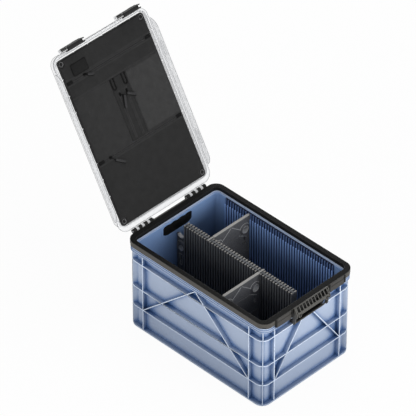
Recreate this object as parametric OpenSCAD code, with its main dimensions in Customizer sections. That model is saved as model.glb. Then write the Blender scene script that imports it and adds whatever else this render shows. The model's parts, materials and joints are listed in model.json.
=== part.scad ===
/* [Crate] */
// Width over the side ribs
crate_w = 400; // [360:1:440]
// Length over the end ribs
crate_l = 595; // [560:1:640]
// Height from the floor it stands on to the top of the flange
crate_h = 324; // [310:1:360]
// Corner radius over the ribs
corner_r = 31.5; // [26:0.5:38]
// Depth of the wall panels behind the ribs
rib_depth = 17; // [14:0.5:20]
// Thickness of the walls
wall_t = 3; // [2.5:0.25:4]
// Thickness of the floor
floor_t = 4; // [3:0.5:8]
// Thickness of the outer ribs
rib_t = 3; // [2:0.25:4]
// Height of the bottom ledge all round
base_t = 5; // [3:0.5:8]
// Height of the lowest ring rib
ring_low_z = 85; // [70:1:100]
// Height of the middle ring rib
ring_mid_z = 164; // [140:1:190]
// Height of the top ring rib
ring_top_z = 268.5; // [250:0.5:269]
// Distance of the upright ribs on a long side from the ends
side_rib_inset = 63; // [50:1:80]
// Distance of the upright ribs on an end from the sides
end_rib_inset = 52.5; // [45:0.5:60]
// Height where the two braces of a side meet
brace_top_z = 303; // [285:1:308]

/* [Crate top] */
// Height of the flange
flange_h = 19; // [15:0.5:22]
// Thickness of the flange's top plate and skirt
flange_t = 3; // [2:0.5:4]
// Step of the flange beads
bead = 2.5; // [1.5:0.5:3]
// Height of the inner lip above the flange
lip_h = 7; // [4:0.5:10]
// Thickness of the inner lip
lip_t = 3; // [2:0.5:4]
// Height of the ledge inside the lip, above the flange
ledge_h = 2; // [1:0.5:4]

/* [Wall slots] */
// Distance from one divider slot to the next
slot_pitch = 11.2; // [10:0.1:12]
// Number of slots along each long wall
slot_count = 42; // [36:2:42]
// Width of a tooth between two slots
tooth_w = 5.6; // [4:0.1:6]
// Depth of the teeth on the walls
tooth_depth = 8; // [5:0.5:10]
// Depth of the teeth near the top
tooth_top_depth = 5; // [3:0.5:8]
// Height of the shallow part of the teeth
tooth_step = 20; // [10:1:40]

/* [Rim] */
// How far the rim stands out beyond the side ribs
rim_side_over = 3.5; // [2:0.5:6]
// How far the rim stands out beyond the end ribs
rim_end_over = 8.5; // [6:0.5:12]
// Width of the rim along the sides
rim_side_w = 17; // [15:0.5:20]
// Width of the rim along the ends
rim_end_w = 20.5; // [18:0.5:24]
// Height of the rim with its gasket
rim_h = 20; // [16:0.5:24]
// Thickness of the rim's walls
rim_t = 3; // [2:0.5:4]
// Height of the gasket
gasket_h = 3.4; // [2.5:0.1:4]
// Width of the plastic left on each side of the gasket
gasket_edge = 2; // [1.5:0.5:3]
// Radius of the rim screws
rim_screw_r = 2; // [1.5:0.25:2.5]
// Distance from one rim screw to the next
side_screw_step = 134; // [120:1:150]

/* [Hand-holds] */
// Width of the opening through each end wall
hold_w = 127; // [100:1:140]
// Height of the opening below its finger waves
hold_h = 29; // [20:1:35]
// Radius of the finger waves on top of the opening
wave_r = 14; // [10:0.5:16]
// Width of the handle
handle_w = 150; // [140:1:154]
// Height of the handle's grip below the rim's top
grip_h = 36; // [30:1:42]
// How far the grip stands out from the rim
grip_out = 17; // [14:0.5:22]
// Number of finger slots in the grip
grip_slots = 10; // [6:1:12]
// Width of a fin between two grip slots
fin_w = 5; // [3:0.5:7]
// Height of the plate that covers the hand-hold, below the rim
cover_h = 52.5; // [45:0.5:52.5]
// How far that plate stands back from the rim's end
cover_back = 5; // [3:0.5:6]
// Width of the finger pocket in the plate
pocket_w = 106; // [90:1:110]
// Height of the finger pocket
pocket_h = 44; // [36:1:44]

/* [Hinges] */
// Gap between the grip and the hinges beside it
hinge_gap = 1; // [0.5:0.5:4]
// Radius of the hinge knuckles
knuckle_r = 7.5; // [6:0.25:8]
// Length of one rim knuckle
knuckle_w = 14; // [10:0.5:16]
// Distance from one rim knuckle to the next
knuckle_pitch = 24; // [22:0.5:28]
// Number of rim knuckles in a hinge
knuckle_count = 4; // [3:1:4]
// Radius of the hinge pin
hinge_pin_r = 2.5; // [2:0.25:3.5]
// Opening angle of the lid as shown
lid_angle = 120; // [0:5:120]

/* [Lid] */
// Height of the lid above its seat
lid_h = 25; // [20:0.5:34]
// Thickness of the clear walls
lid_t = 3; // [2:0.25:4]
// How far the lid's walls stand in from the rim's sides
lid_inset = 5.5; // [4:0.5:8]
// Corner radius of the lid's walls
lid_r = 28; // [22:0.5:32]
// Depth of the side skirts below the seat
skirt_h = 20; // [12:0.5:24]
// Distance of the skirt's ends from the corners
skirt_inset = 42; // [36:1:60]
// Gap between the rim and a skirt
skirt_gap = 3.2; // [2:0.2:5]

/* [Latches] */
// Gap between the grip and the latches beside it
latch_gap = 6.5; // [5.5:0.5:12]
// Width of a latch
latch_w = 81; // [70:0.5:84]
// Thickness of the latch plate
latch_t = 3.5; // [2.5:0.25:5]
// Radius of the latch barrel
barrel_r = 6; // [5:0.25:6.5]
// Radius of the latch pin
latch_pin_r = 2; // [1.5:0.25:2.5]
// How far the latch pin stands out from the rim
latch_out = 11; // [10.5:0.5:14]
// How far the latch is swung out as shown
latch_angle = 10; // [0:1:60]
// Gap between the grip and the bar that the latch hooks under
catch_gap = 13; // [11:0.5:16]
// Width of the bar that the latch hooks under
catch_w = 62; // [50:1:66]
// Thickness of the bar that the latch hooks under
catch_t = 4; // [3:0.25:4]
// How far the bar reaches below the rim's top
catch_h = 32; // [28:0.5:34]

/* [Organiser] */
// Gap between the board and the lid's side walls
board_side_gap = 7.5; // [5:0.5:10]
// Gap between the board and the lid's front wall
board_front_gap = 8; // [5:0.5:12]
// Gap between the board and the lid's rear wall
board_rear_gap = 3; // [2:0.5:6]
// Thickness of the organiser board
board_t = 3; // [2:0.5:5]
// Thickness of the pockets
pocket_t = 2.8; // [2:0.2:4]
// Width of a zip
zip_w = 10; // [8:0.5:14]
// Distance of the upper zip from the board's front edge
upper_zip_at = 80; // [76:1:95]
// Distance of the middle pockets' mouth from the board's front edge
mouth_at = 137; // [120:1:160]
// Distance of the lower zip from the board's front edge
lower_zip_at = 358; // [330:1:380]
// Width of the strip between the two middle pockets
strip_w = 70; // [66:1:80]
// How far that strip is off the board's middle
strip_x = 5; // [0:1:10]
// Distance between the strip's two zips
zip_spread = 30; // [26:1:36]
// Distance of the strip's zips from the mouth
zip_drop = 46; // [44:1:60]
// Distance of the corner fasteners from the board's edges
fastener_in = 13; // [11:0.5:16]
// Radius of the corner fasteners
fastener_r = 9; // [7:0.5:10]
// Distance of the upper zip's slider from the board's left edge
upper_slider_at = 81.5; // [50:0.5:150]
// Distance of the lower zip's slider from the board's left edge
lower_slider_at = 55.5; // [50:0.5:150]
// Distance of the blank patch from the board's left edge
patch_side = 41.5; // [34:0.5:60]
// Distance of the blank patch from the board's front edge
patch_front = 30; // [28:1:34]
// Width of the blank patch
patch_w = 64; // [50:1:80]
// Length of the blank patch
patch_l = 40; // [30:1:40]

/* [Dividers] */
// Height of the dividers above the floor
divider_h = 318; // [250:1:318]
// Thickness of the long divider's core
core_t = 4; // [3:0.5:6]
// Depth of the teeth on the long divider
divider_tooth = 10; // [6:0.5:11]
// Height of the long divider's end wings above the floor
wing_h = 263; // [220:1:280]
// Thickness of the cross dividers
cross_t = 3.6; // [3:0.1:4.2]
// Which slot holds the rear cross divider, counted from the middle
rear_slot = 11; // [2:1:16]
// Which slot holds the front cross divider, counted from the middle
front_slot = -9; // [-16:1:-2]
// Radius of the finger rings
ring_r = 13; // [10:0.5:15]
// Distance of the finger rings from the middle of a cross divider
ring_spread = 60; // [45:1:64]
// Distance of a cross divider's rings below its top
ring_drop = 45; // [38:1:60]
// Width of the wall round a finger ring
ring_wall = 5.5; // [3:0.5:6]
// Distance of each small hole below its ring
hole_drop = 55; // [45:1:70]
// Length of the slot above each small hole
slot_len = 25; // [10:1:30]
// Distance of the upper raised line below the divider's top
line_high = 61; // [55:1:75]
// Distance of the lower raised line below the divider's top
line_low = 139; // [110:1:180]
// Gap at each end of the raised lines
line_gap = 18; // [14:1:24]
// Height of the raised lines on the cross dividers
line_t = 1.4; // [1:0.1:2]

/* [Hidden] */
$fn = 48;

// Gap between parts that seat on each other, and the slack of a running fit
fit = 0.3;
run = 0.05;
// A cut reaches this far past the face it opens
past = 1;

// Crate
rib_x = crate_w / 2;
rib_y = crate_l / 2;
wall_x = rib_x - rib_depth;
wall_y = rib_y - rib_depth;
wall_r = corner_r - rib_depth;
inner_x = wall_x - wall_t;
inner_y = wall_y - wall_t;
inner_r = wall_r - wall_t;
flange_z = crate_h - flange_h;
// Rim
rim_x = rib_x + rim_side_over;
rim_y = rib_y + rim_end_over;
rim_r = corner_r + rim_side_over;
rim_in_x = rim_x - rim_side_w;
rim_in_y = rim_y - rim_end_w;
rim_in_r = rim_r - rim_side_w;
rim_top = crate_h + rim_h;
rim_edge_z = rim_top - 0.4;
gasket_z = rim_top - gasket_h;
// Flange and inner lip follow the rim
flange_gap = 1.5;
flange_x = rim_x - flange_gap;
flange_y = rim_y - flange_gap;
flange_r = rim_r - flange_gap;
lip_x = rim_in_x - fit;
lip_y = rim_in_y - fit;
lip_r = rim_in_r - fit;
lip_z = crate_h + lip_h;
// Rim screws, four on each long side
screw_near = side_screw_step / 2;
screw_row = [-screw_near - side_screw_step, -screw_near, screw_near, screw_near + side_screw_step];
screw_x = rim_in_x + rim_t + rim_screw_r + 0.5;
boss_r = 4.4;
screw_head_r = rim_screw_r * 2;
screw_head_h = 2.4;
screw_len = 12;
// Hand-hold
hold_z = flange_z - hold_h - 5;
hold_corner = 12;
wave_step = hold_w / 4;
// Handle and its cover plate
cover_z = crate_h - cover_h;
cover_x = handle_w / 2 + 1;
cover_low_x = pocket_w / 2 + 4;
cover_t = 3;
cover_y = -rim_y + cover_back;
cover_bevel = 24;
cheek_w = 5;
top_bar_h = 7;
low_bar_h = 14;
low_bar_t = 6;
grip_z = rim_top - grip_h;
slot_zone = handle_w - 2 * cheek_w - 4;
fin_step = slot_zone / grip_slots;
post_x = pocket_w / 2 + 7;
post_r = 5;
grip_screw_r = 2;
grip_screw_head_r = 3.4;
pocket_z = cover_z + 5;
pocket_back = 3;
// Hinges
hinge_y = rim_y + knuckle_r + past;
hinge_z = rim_top - 3;
hinge_half = (knuckle_count - 1) * knuckle_pitch / 2 + knuckle_w / 2;
hinge_x = handle_w / 2 + hinge_gap + hinge_half;
lid_knuckle_w = knuckle_pitch - knuckle_w - 2 * fit;
// Lid, drawn closed
lid_z = rim_top + fit;
lid_flange_z = lid_z + lid_t;
lid_top = lid_z + lid_h;
lid_wall_x = rim_x - lid_inset;
lid_front = -rim_y + past;
lid_rear = hinge_y - knuckle_r;
lid_wall_front = lid_front + 4;
lid_wall_rear = lid_rear - 16;
skirt_x = rim_x + skirt_gap;
skirt_t = 2.5;
skirt_round = 40;
// Latches, drawn closed
latch_pin_y = -rim_y - latch_out;
latch_pin_z = rim_top - 4;
latch_x = handle_w / 2 + latch_gap + latch_w / 2;
catch_x = handle_w / 2 + catch_gap + catch_w / 2;
ear_w = 4;
ear_r = 6.5;
ear_root = lid_wall_front + lid_t - 1;
catch_z = rim_top - catch_h;
hook_top = catch_z - 1;
hook_h = 6;
hook_y = -rim_y - 1.5;
plate_y = latch_pin_y - barrel_r + 0.5;
// Organiser, drawn closed under the lid
board_front = lid_wall_front + lid_t + board_front_gap;
board_rear = lid_wall_rear - lid_t - board_rear_gap;
board_l = board_rear - board_front;
board_w = 2 * (lid_wall_x - lid_t - board_side_gap);
board_z = lid_flange_z;
board_r = 12;
pocket_low = board_z - pocket_t;
strip_low = board_z - pocket_t / 2;
seam = 0.6;
low_seam = lower_zip_at - zip_w / 2 - seam;
panel_x = board_w / 2 - 3;
upper_zip_y = board_front + upper_zip_at;
mouth_y = board_front + mouth_at;
lower_zip_y = board_front + lower_zip_at;
slider_t = 3.8;
slider_w = 9;
pull_t = 1.6;
pull_drop = 0.5;
pull_w = 8;
pull_hole_r = 1.8;
upper_pull_len = 34;
upper_pull_turn = 20;
lower_pull_len = 54;
lower_pull_turn = 34;
left_pull_len = 42;
left_pull_turn = -8;
right_pull_len = 40;
right_pull_turn = -55;
centre_slider_at = 13;
slider_gap = 0.2;
tab_w = 26;
stud_r = 3;
stud_len = 10;
// Dividers
floor_gap = 0.2;
divider_z = floor_t + floor_gap;
divider_top = floor_t + divider_h;
divider_y = inner_y - 0.5;
rack_y = (slot_count / 2) * slot_pitch + tooth_w / 2;
wing_top = floor_t + wing_h;
cross_in = core_t / 2 + fit;
cross_out = inner_x - fit;
cross_mid = (cross_in + cross_out) / 2;
cross_flange_t = 4;
cross_flange_w = 9;
ring_z = divider_top - ring_drop;
small_hole_r = 4.5;
small_rim = 3;
key_slot = 5;
wing_ring_drop = 53;
wing_hole_drop = 107;

// Plan outline with round corners, half sizes x and y
module outline(x, y, r) {
    square([2 * x, 2 * (y - r)], center = true);
    square([2 * (x - r), 2 * y], center = true);
    for (sx = [-1, 1], sy = [-1, 1]) {
        translate([sx * (x - r), sy * (y - r)]) circle(r);
    }
}

// Slab with round corners between two heights
module slab(x, y, r, z0, z1) {
    translate([0, 0, z0]) linear_extrude(z1 - z0) outline(x, y, r);
}

// Ring between two round-cornered outlines
module band(x, y, r, inset, z0, z1) {
    translate([0, 0, z0]) linear_extrude(z1 - z0) difference() {
        outline(x, y, r);
        outline(x - inset, y - inset, r - inset);
    }
}

// Box given by its low and high corners
module block(a, b) {
    translate(a) cube(b - a);
}

// Round bar along X
module rod_x(x0, x1, y, z, r) {
    translate([x0, y, z]) rotate([0, 90, 0]) cylinder(h = x1 - x0, r = r);
}

// Round bar along Y
module rod_y(y0, y1, x, z, r) {
    translate([x, y0, z]) rotate([-90, 0, 0]) cylinder(h = y1 - y0, r = r);
}

// The same thing at the front and at the rear
module both_ends() {
    children();
    rotate([0, 0, 180]) children();
}

// A profile given in Y and Z, stretched along X
module along_x(x0, x1) {
    translate([x0, 0, 0]) rotate([90, 0, 90]) linear_extrude(x1 - x0) children();
}

// Turns what is drawn closed into the lid's shown place
module opened() {
    translate([0, hinge_y, hinge_z]) rotate([-lid_angle, 0, 0])
        translate([0, -hinge_y, -hinge_z]) children();
}

// Turns a closed latch out by its shown angle
module swung() {
    translate([0, latch_pin_y, latch_pin_z]) rotate([-latch_angle, 0, 0])
        translate([0, -latch_pin_y, -latch_pin_z]) children();
}

module outer_ribs() {
    slab(rib_x, rib_y, corner_r, 0, base_t);
    for (z = [ring_low_z, ring_mid_z, ring_top_z]) {
        slab(rib_x, rib_y, corner_r, z - rib_t / 2, z + rib_t / 2);
    }
    for (s = [-1, 1]) {
        translate([0, s * (rib_y - side_rib_inset), flange_z / 2])
            cube([crate_w, rib_t, flange_z], center = true);
        translate([s * (rib_x - end_rib_inset), 0, flange_z / 2])
            cube([rib_t, crate_l, flange_z], center = true);
        brace(s, rib_y - side_rib_inset, crate_w, 0);
        brace(s, rib_x - end_rib_inset, crate_l, 90);
    }
    for (sx = [-1, 1], sy = [-1, 1]) {
        translate([sx * (rib_x - corner_r), sy * (rib_y - corner_r), 0])
            rotate([0, 0, atan2(sy, sx)]) translate([0, -rib_t / 2, 0]) cube([corner_r, rib_t, flange_z]);
    }
}

// Slanting rib from the lowest ring, beside an upright rib, to the middle of the side
module brace(s, reach, through, turn) {
    rise = brace_top_z - ring_low_z;
    slant = atan2(rise, reach);
    rotate([0, 0, turn]) translate([0, s * reach, ring_low_z]) rotate([s > 0 ? 180 - slant : slant, 0, 0])
        translate([-through / 2, 0, -rib_t / 2]) cube([through, norm([rise, reach]), rib_t]);
}

module flange() {
    slab(flange_x, flange_y, flange_r, crate_h - flange_t, crate_h);
    difference() {
        union() {
            slab(flange_x - bead, flange_y - bead, flange_r - bead, flange_z, crate_h - flange_t);
            slab(flange_x, flange_y, flange_r, flange_z, flange_z + bead);
            translate([0, 0, flange_z + flange_h / 2])
                slab(flange_x, flange_y, flange_r, -bead / 2, bead / 2);
        }
        hollow = bead + flange_t;
        slab(flange_x - hollow, flange_y - hollow, flange_r - hollow, flange_z - past, crate_h - flange_t);
    }
}

// Opening through an end wall, with waves for the fingers
module hand_hold() {
    rotate([90, 0, 0]) linear_extrude(3 * wall_t, center = true) {
        polygon([
            [-hold_w / 2, hold_z + hold_corner], [-hold_w / 2 + hold_corner, hold_z],
            [hold_w / 2 - hold_corner, hold_z], [hold_w / 2, hold_z + hold_corner],
            [hold_w / 2, hold_z + hold_h], [-hold_w / 2, hold_z + hold_h]
        ]);
        for (i = [-1.5:1.5]) {
            translate([i * wave_step, hold_z + hold_h]) circle(wave_r);
        }
    }
}

module crate_body() color("#7f97bd") {
    difference() {
        union() {
            slab(wall_x, wall_y, wall_r, 0, crate_h);
            slab(lip_x, lip_y, lip_r, crate_h - flange_t, lip_z);
            flange();
            outer_ribs();
        }
        slab(inner_x, inner_y, inner_r, floor_t, lip_z + past);
        slab(lip_x - lip_t, lip_y - lip_t, lip_r - lip_t, crate_h + ledge_h, lip_z + past);
        both_ends() {
            translate([0, -wall_y + wall_t / 2, 0]) hand_hold();
            block([-cover_x - fit, -rim_y, cover_z - fit], [cover_x + fit, -lip_y, crate_h + past]);
            block([-cover_x - fit, -lip_y - past, cover_z - fit], [cover_x + fit, -wall_y, crate_h]);
        }
        rim_screw_places() cylinder(h = 4 * flange_t, r = rim_screw_r + fit, center = true);
    }
    wall_teeth();
}

module wall_teeth() {
    for (s = [-1, 1], i = [-slot_count / 2:slot_count / 2]) {
        y = i * slot_pitch - tooth_w / 2;
        rotate([0, 0, s > 0 ? 0 : 180]) {
            translate([inner_x - tooth_depth, y, floor_t - 0.5])
                cube([tooth_depth + 0.5, tooth_w, crate_h - tooth_step - floor_t + 0.5]);
            translate([inner_x - tooth_top_depth, y, crate_h - tooth_step - 0.5])
                cube([tooth_top_depth + 0.5, tooth_w, tooth_step + 0.5]);
        }
    }
}

module rim_screw_places() {
    for (s = [-1, 1], y = screw_row) {
        translate([s * screw_x, y, crate_h]) children();
    }
}

module rim_frame() color("#4a4743") {
    difference() {
        union() {
            slab(rim_x, rim_y, rim_r, crate_h, rim_edge_z);
            hinge_leaves();
            catch_ears();
        }
        slab(rim_in_x, rim_in_y, rim_in_r, crate_h - past, rim_top);
        rim_hollow();
        gasket_groove(0);
        for (s = [-1, 1]) {
            rod_x(s * hinge_x - hinge_half - past, s * hinge_x + hinge_half + past, hinge_y, hinge_z,
                hinge_pin_r + run);
        }
        corner_notches();
        rim_screw_holes();
    }
    difference() {
        rim_screw_places() cylinder(h = gasket_z - rim_t - crate_h + 0.5, r = boss_r);
        rim_screw_holes();
    }
}

module rim_screw_holes() {
    rim_screw_places() cylinder(h = 2 * screw_len, r = rim_screw_r + run, center = true);
}

// Underside of the rim, left hollow so that it is a channel
module rim_hollow() {
    translate([0, 0, crate_h - past]) linear_extrude(gasket_z - rim_t - crate_h + past) difference() {
        outline(rim_x - rim_t, rim_y - rim_t, rim_r - rim_t);
        outline(rim_in_x + rim_t, rim_in_y + rim_t, rim_in_r + rim_t);
    }
}

module gasket_groove(slack) {
    translate([0, 0, gasket_z]) linear_extrude(gasket_h) difference() {
        out = gasket_edge + slack;
        outline(rim_x - out, rim_y - out, rim_r - out);
        outline(rim_in_x + out, rim_in_y + out, rim_in_r + out);
    }
}

module corner_notches() {
    for (sx = [-1, 1], sy = [-1, 1]) {
        translate([sx * (rim_x - rim_r), sy * (rim_y - rim_r), crate_h + 2.5])
            rotate([0, 0, atan2(sy, sx)]) translate([rim_r, 0, 0]) cube([3, 22, 5 + past], center = true);
    }
}

// Knuckles and the leaf that carries them, on the rear of the rim
module hinge_leaves() {
    for (s = [-1, 1], i = [0:knuckle_count - 1]) {
        x = s * hinge_x - hinge_half + i * knuckle_pitch;
        rod_x(x, x + knuckle_w, hinge_y, hinge_z, knuckle_r);
        block([x, rim_y - rim_t, hinge_z - knuckle_r], [x + knuckle_w, hinge_y, hinge_z]);
    }
}

// Blocks that hold the ends of the catch bars
module catch_ears() {
    for (s = [-1, 1], e = [-1, 1]) {
        x = s * catch_x + e * (catch_w / 2 + 3);
        block([x - 3, -rim_y - catch_t - 1, catch_z + 3], [x + 3, -rim_y + 0.5, rim_edge_z]);
    }
}

// Below the rim: the plate that covers a hand-hold and carries the grip, with its finger pocket
module housing() color("#4a4743") {
    back = -wall_y - fit;
    difference() {
        union() {
            translate([0, cover_y + cover_t, 0]) rotate([90, 0, 0]) linear_extrude(cover_t) polygon([
                [-cover_x, crate_h + rim_t], [-cover_x, cover_z + cover_bevel], [-cover_low_x, cover_z],
                [cover_low_x, cover_z], [cover_x, cover_z + cover_bevel], [cover_x, crate_h + rim_t]
            ]);
            block([-cover_x, -rim_y + rim_t + fit, crate_h],
                [cover_x, -rim_in_y - rim_t - fit, crate_h + rim_t]);
            block([-pocket_w / 2 - rim_t, cover_y + 0.5, pocket_z - rim_t],
                [pocket_w / 2 + rim_t, back, crate_h]);
            grip_screw_places(-rim_y + 8) cylinder(h = 8, r = post_r);
        }
        block([-pocket_w / 2, -rim_y - past, pocket_z],
            [pocket_w / 2, back - pocket_back, pocket_z + pocket_h]);
        grip_screw_places(-rim_y + 11) cylinder(h = 14, r = grip_screw_r + run);
    }
}

module front_housing() {
    housing();
}

module rear_housing() {
    rotate([0, 0, 180]) housing();
}

// Where the grip's two screws go in, along Y
module grip_screw_places(y) {
    for (s = [-1, 1]) {
        translate([s * post_x, y, grip_z + low_bar_h / 2]) rotate([90, 0, 0]) children();
    }
}

module rim_gasket() color("#151515") {
    gasket_groove(0.1);
}

module rim_screws() color("silver") {
    rim_screw_places() {
        translate([0, 0, -flange_t]) cylinder(h = screw_len, r = rim_screw_r);
        translate([0, 0, -flange_t - screw_head_h]) cylinder(h = screw_head_h, r = screw_head_r);
    }
}

// Side view of the handle's cheek, in Y and Z
module cheek_profile() {
    face = -rim_y;
    polygon([
        [face, rim_top], [face - 8, rim_top], [face - grip_out, grip_z + low_bar_h],
        [face - grip_out, grip_z + 5], [face - grip_out + 5, grip_z - 8], [face, grip_z - 14]
    ]);
}

module handle() color("#4a4743") {
    face = -rim_y;
    half = handle_w / 2;
    difference() {
        union() {
            along_x(-half, -half + cheek_w) cheek_profile();
            along_x(half - cheek_w, half) cheek_profile();
            block([-half, face - 9, rim_top - top_bar_h], [half, face, rim_top]);
            block([-half, face - grip_out, grip_z],
                [half, face - grip_out + low_bar_t, grip_z + low_bar_h]);
            for (i = [0:grip_slots]) {
                x = -slot_zone / 2 + i * fin_step;
                along_x(x - fin_w / 2, x + fin_w / 2) polygon([
                    [face - 3, rim_top - 3], [face - 8, rim_top - 1],
                    [face - grip_out, grip_z + low_bar_h - 1],
                    [face - grip_out + low_bar_t, grip_z + low_bar_h - 1]
                ]);
            }
            grip_screw_places(face - grip_out / 2) cylinder(h = grip_out, r = post_r, center = true);
        }
        grip_screw_places(face - grip_out / 2)
            cylinder(h = 2 * grip_out, r = grip_screw_r + fit, center = true);
        grip_screw_places(face - grip_out + 3) cylinder(h = 6, r = grip_screw_head_r + fit);
    }
}

module handle_screws() color("#202020") {
    face = -rim_y;
    grip_screw_places(face + 8) cylinder(h = grip_out + 6, r = grip_screw_r);
    grip_screw_places(face - grip_out + 3) cylinder(h = 2.2, r = grip_screw_head_r);
}

module front_handle() {
    handle();
}

module rear_handle() {
    rotate([0, 0, 180]) handle();
}

module front_handle_screws() {
    handle_screws();
}

module rear_handle_screws() {
    rotate([0, 0, 180]) handle_screws();
}

module catch_bar(s) color("#55524d") {
    x = s * catch_x;
    difference() {
        block([x - catch_w / 2, -rim_y - catch_t, catch_z], [x + catch_w / 2, -rim_y, rim_top]);
        block([x - catch_w / 2 - past, -rim_y - catch_t - past, rim_top - 13],
            [x + catch_w / 2 + past, -rim_y - catch_t + 1.5, rim_top - 5]);
    }
}

module catch_left() {
    catch_bar(-1);
}

module catch_right() {
    catch_bar(1);
}

module hinge_pin(s) color("silver") {
    rod_x(s * hinge_x - hinge_half, s * hinge_x + hinge_half, hinge_y, hinge_z, hinge_pin_r);
}

module hinge_pin_left() {
    hinge_pin(-1);
}

module hinge_pin_right() {
    hinge_pin(1);
}

// Outline of a part of the lid between a front and a rear edge
module lid_slab(x, front, rear, r, z0, z1) {
    translate([0, (front + rear) / 2, 0]) slab(x, (rear - front) / 2, r, z0, z1);
}

// Long side skirt, with its two lower corners swept up
module skirt(s) {
    half = (lid_rear - lid_front) / 2 - skirt_inset;
    low = lid_z - skirt_h;
    x0 = s > 0 ? skirt_x : -skirt_x - skirt_t;
    along_x(x0, x0 + skirt_t) translate([(lid_front + lid_rear) / 2, 0]) difference() {
        translate([-half, low]) square([2 * half, lid_flange_z - low]);
        for (m = [0, 1]) {
            mirror([m, 0]) translate([-half, low]) difference() {
                translate([-past, -past]) square(skirt_round + past);
                translate([skirt_round, skirt_round]) circle(skirt_round);
            }
        }
    }
}

// Side view of an ear that holds a latch pin, in Y and Z
module ear_profile() {
    polygon([
        [ear_root, lid_z], [latch_pin_y + barrel_r, lid_z], [latch_pin_y + 4, latch_pin_z],
        [latch_pin_y - 4, latch_pin_z], [latch_pin_y - 4, lid_z + 1], [latch_pin_y, lid_flange_z],
        [ear_root, lid_flange_z]
    ]);
    translate([latch_pin_y, latch_pin_z]) circle(ear_r);
}

module lid_shell() color("#dfe6ea", 0.35) opened() {
    difference() {
        union() {
            lid_slab(lid_wall_x, lid_wall_front, lid_wall_rear, lid_r, lid_z, lid_top);
            lid_slab(rim_x, lid_front, lid_rear, rim_r - 3, lid_z, lid_flange_z);
            for (s = [-1, 1]) {
                skirt(s);
                x0 = s > 0 ? rim_x - past : -skirt_x - skirt_t;
                block([x0, lid_front + skirt_inset, lid_z],
                    [x0 + skirt_gap + skirt_t + past, lid_rear - skirt_inset, lid_flange_z]);
            }
        }
        lid_slab(lid_wall_x - lid_t, lid_wall_front + lid_t, lid_wall_rear - lid_t, lid_r - lid_t,
            lid_z - past, lid_top - lid_t);
        for (s = [-1, 1]) {
            block([s * hinge_x - hinge_half - 1, rim_y - 1.5, lid_z - past],
                [s * hinge_x + hinge_half + 1, lid_rear + past, lid_flange_z + past]);
        }
    }
    difference() {
        union() {
            lid_knuckles();
            for (s = [-1, 1], e = [-1, 1]) {
                x = s * latch_x + e * (latch_w / 2 + 0.5 + ear_w / 2);
                along_x(x - ear_w / 2, x + ear_w / 2) ear_profile();
            }
        }
        for (s = [-1, 1]) {
            rod_x(s * hinge_x - hinge_half, s * hinge_x + hinge_half, hinge_y, hinge_z, hinge_pin_r + run);
            rod_x(s * latch_x - latch_w, s * latch_x + latch_w, latch_pin_y, latch_pin_z,
                latch_pin_r + run);
        }
    }
    difference() {
        fastener_places(board_z + board_t)
            cylinder(h = lid_top - lid_t - board_z - board_t + 0.5, r = stud_r * 2);
        fastener_places(board_z) cylinder(h = stud_len + past, r = stud_r + run);
    }
}

module lid_knuckles() {
    for (s = [-1, 1], i = [0:knuckle_count - 2]) {
        x = s * hinge_x - hinge_half + knuckle_w + fit + i * knuckle_pitch;
        rod_x(x, x + lid_knuckle_w, hinge_y, hinge_z, knuckle_r);
        block([x, rim_y - 3, lid_z], [x + lid_knuckle_w, hinge_y, lid_flange_z]);
    }
}

module latch(s) color("#1c1c1c") opened() swung() {
    x0 = s * latch_x - latch_w / 2;
    x1 = s * latch_x + latch_w / 2;
    low = hook_top - hook_h;
    difference() {
        union() {
            rod_x(x0, x1, latch_pin_y, latch_pin_z, barrel_r);
            along_x(x0, x1) polygon([
                [plate_y + latch_t, latch_pin_z], [plate_y + latch_t, hook_top], [hook_y, hook_top],
                [hook_y, hook_top - 3], [hook_y - 3.5, low], [plate_y + 1, low], [plate_y - 6, low - 3],
                [plate_y - 7.5, low - 0.5], [plate_y, low + 5], [plate_y, latch_pin_z]
            ]);
        }
        rod_x(x0 - past, x1 + past, latch_pin_y, latch_pin_z, latch_pin_r + run);
    }
}

module latch_left() {
    latch(-1);
}

module latch_right() {
    latch(1);
}

module latch_pin(s) color("silver") opened() {
    half = latch_w / 2 + 0.5 + ear_w;
    rod_x(s * latch_x - half, s * latch_x + half, latch_pin_y, latch_pin_z, latch_pin_r);
}

module latch_pin_left() {
    latch_pin(-1);
}

module latch_pin_right() {
    latch_pin(1);
}

// The four corners where the board is fastened to the lid
module fastener_places(z) {
    for (sx = [-1, 1], y = [board_front + fastener_in, board_rear - fastener_in]) {
        translate([sx * (board_w / 2 - fastener_in), y, z]) children();
    }
}

module organiser_board() color("#333333") opened() {
    difference() {
        lid_slab(board_w / 2, board_front, board_rear, board_r, board_z, board_z + board_t);
        fastener_places(board_z - past) cylinder(h = board_t + 2 * past, r = stud_r + fit);
    }
}

module board_fasteners() color("#262626") opened() {
    fastener_places(board_z - 2) difference() {
        cylinder(h = 2, r = fastener_r);
        translate([0, 0, -past]) cylinder(h = 2, r = fastener_r - 2.5);
    }
    fastener_places(board_z - 1.5) cylinder(h = stud_len, r = stud_r);
}

// Flat fabric piece between two distances from the board's front edge
module panel(x0, x1, a, b, low) {
    block([x0, board_front + a, low], [x1, board_front + b, board_z]);
}

module top_panel() color("#333333") opened() {
    difference() {
        panel(-panel_x, panel_x, 3, upper_zip_at - zip_w / 2 - seam, pocket_low);
        corner_clear();
    }
}

module corner_clear() {
    fastener_places(pocket_low - past) cylinder(h = pocket_t + 2 * past, r = fastener_r + fit);
}

module top_pocket() color("#303030") opened() {
    panel(-panel_x, panel_x, upper_zip_at + zip_w / 2 + seam, mouth_at, pocket_low);
}

module left_pocket() color("#363636") opened() {
    panel(-panel_x, strip_x - strip_w / 2 - seam, mouth_at + seam, low_seam, pocket_low);
}

module right_pocket() color("#404040") opened() {
    panel(strip_x + strip_w / 2 + seam, panel_x, mouth_at + seam, low_seam, pocket_low);
}

module centre_strip() color("#303030") opened() {
    half = strip_w / 2;
    panel(strip_x - half, strip_x + half, mouth_at + seam, low_seam, strip_low);
}

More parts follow.
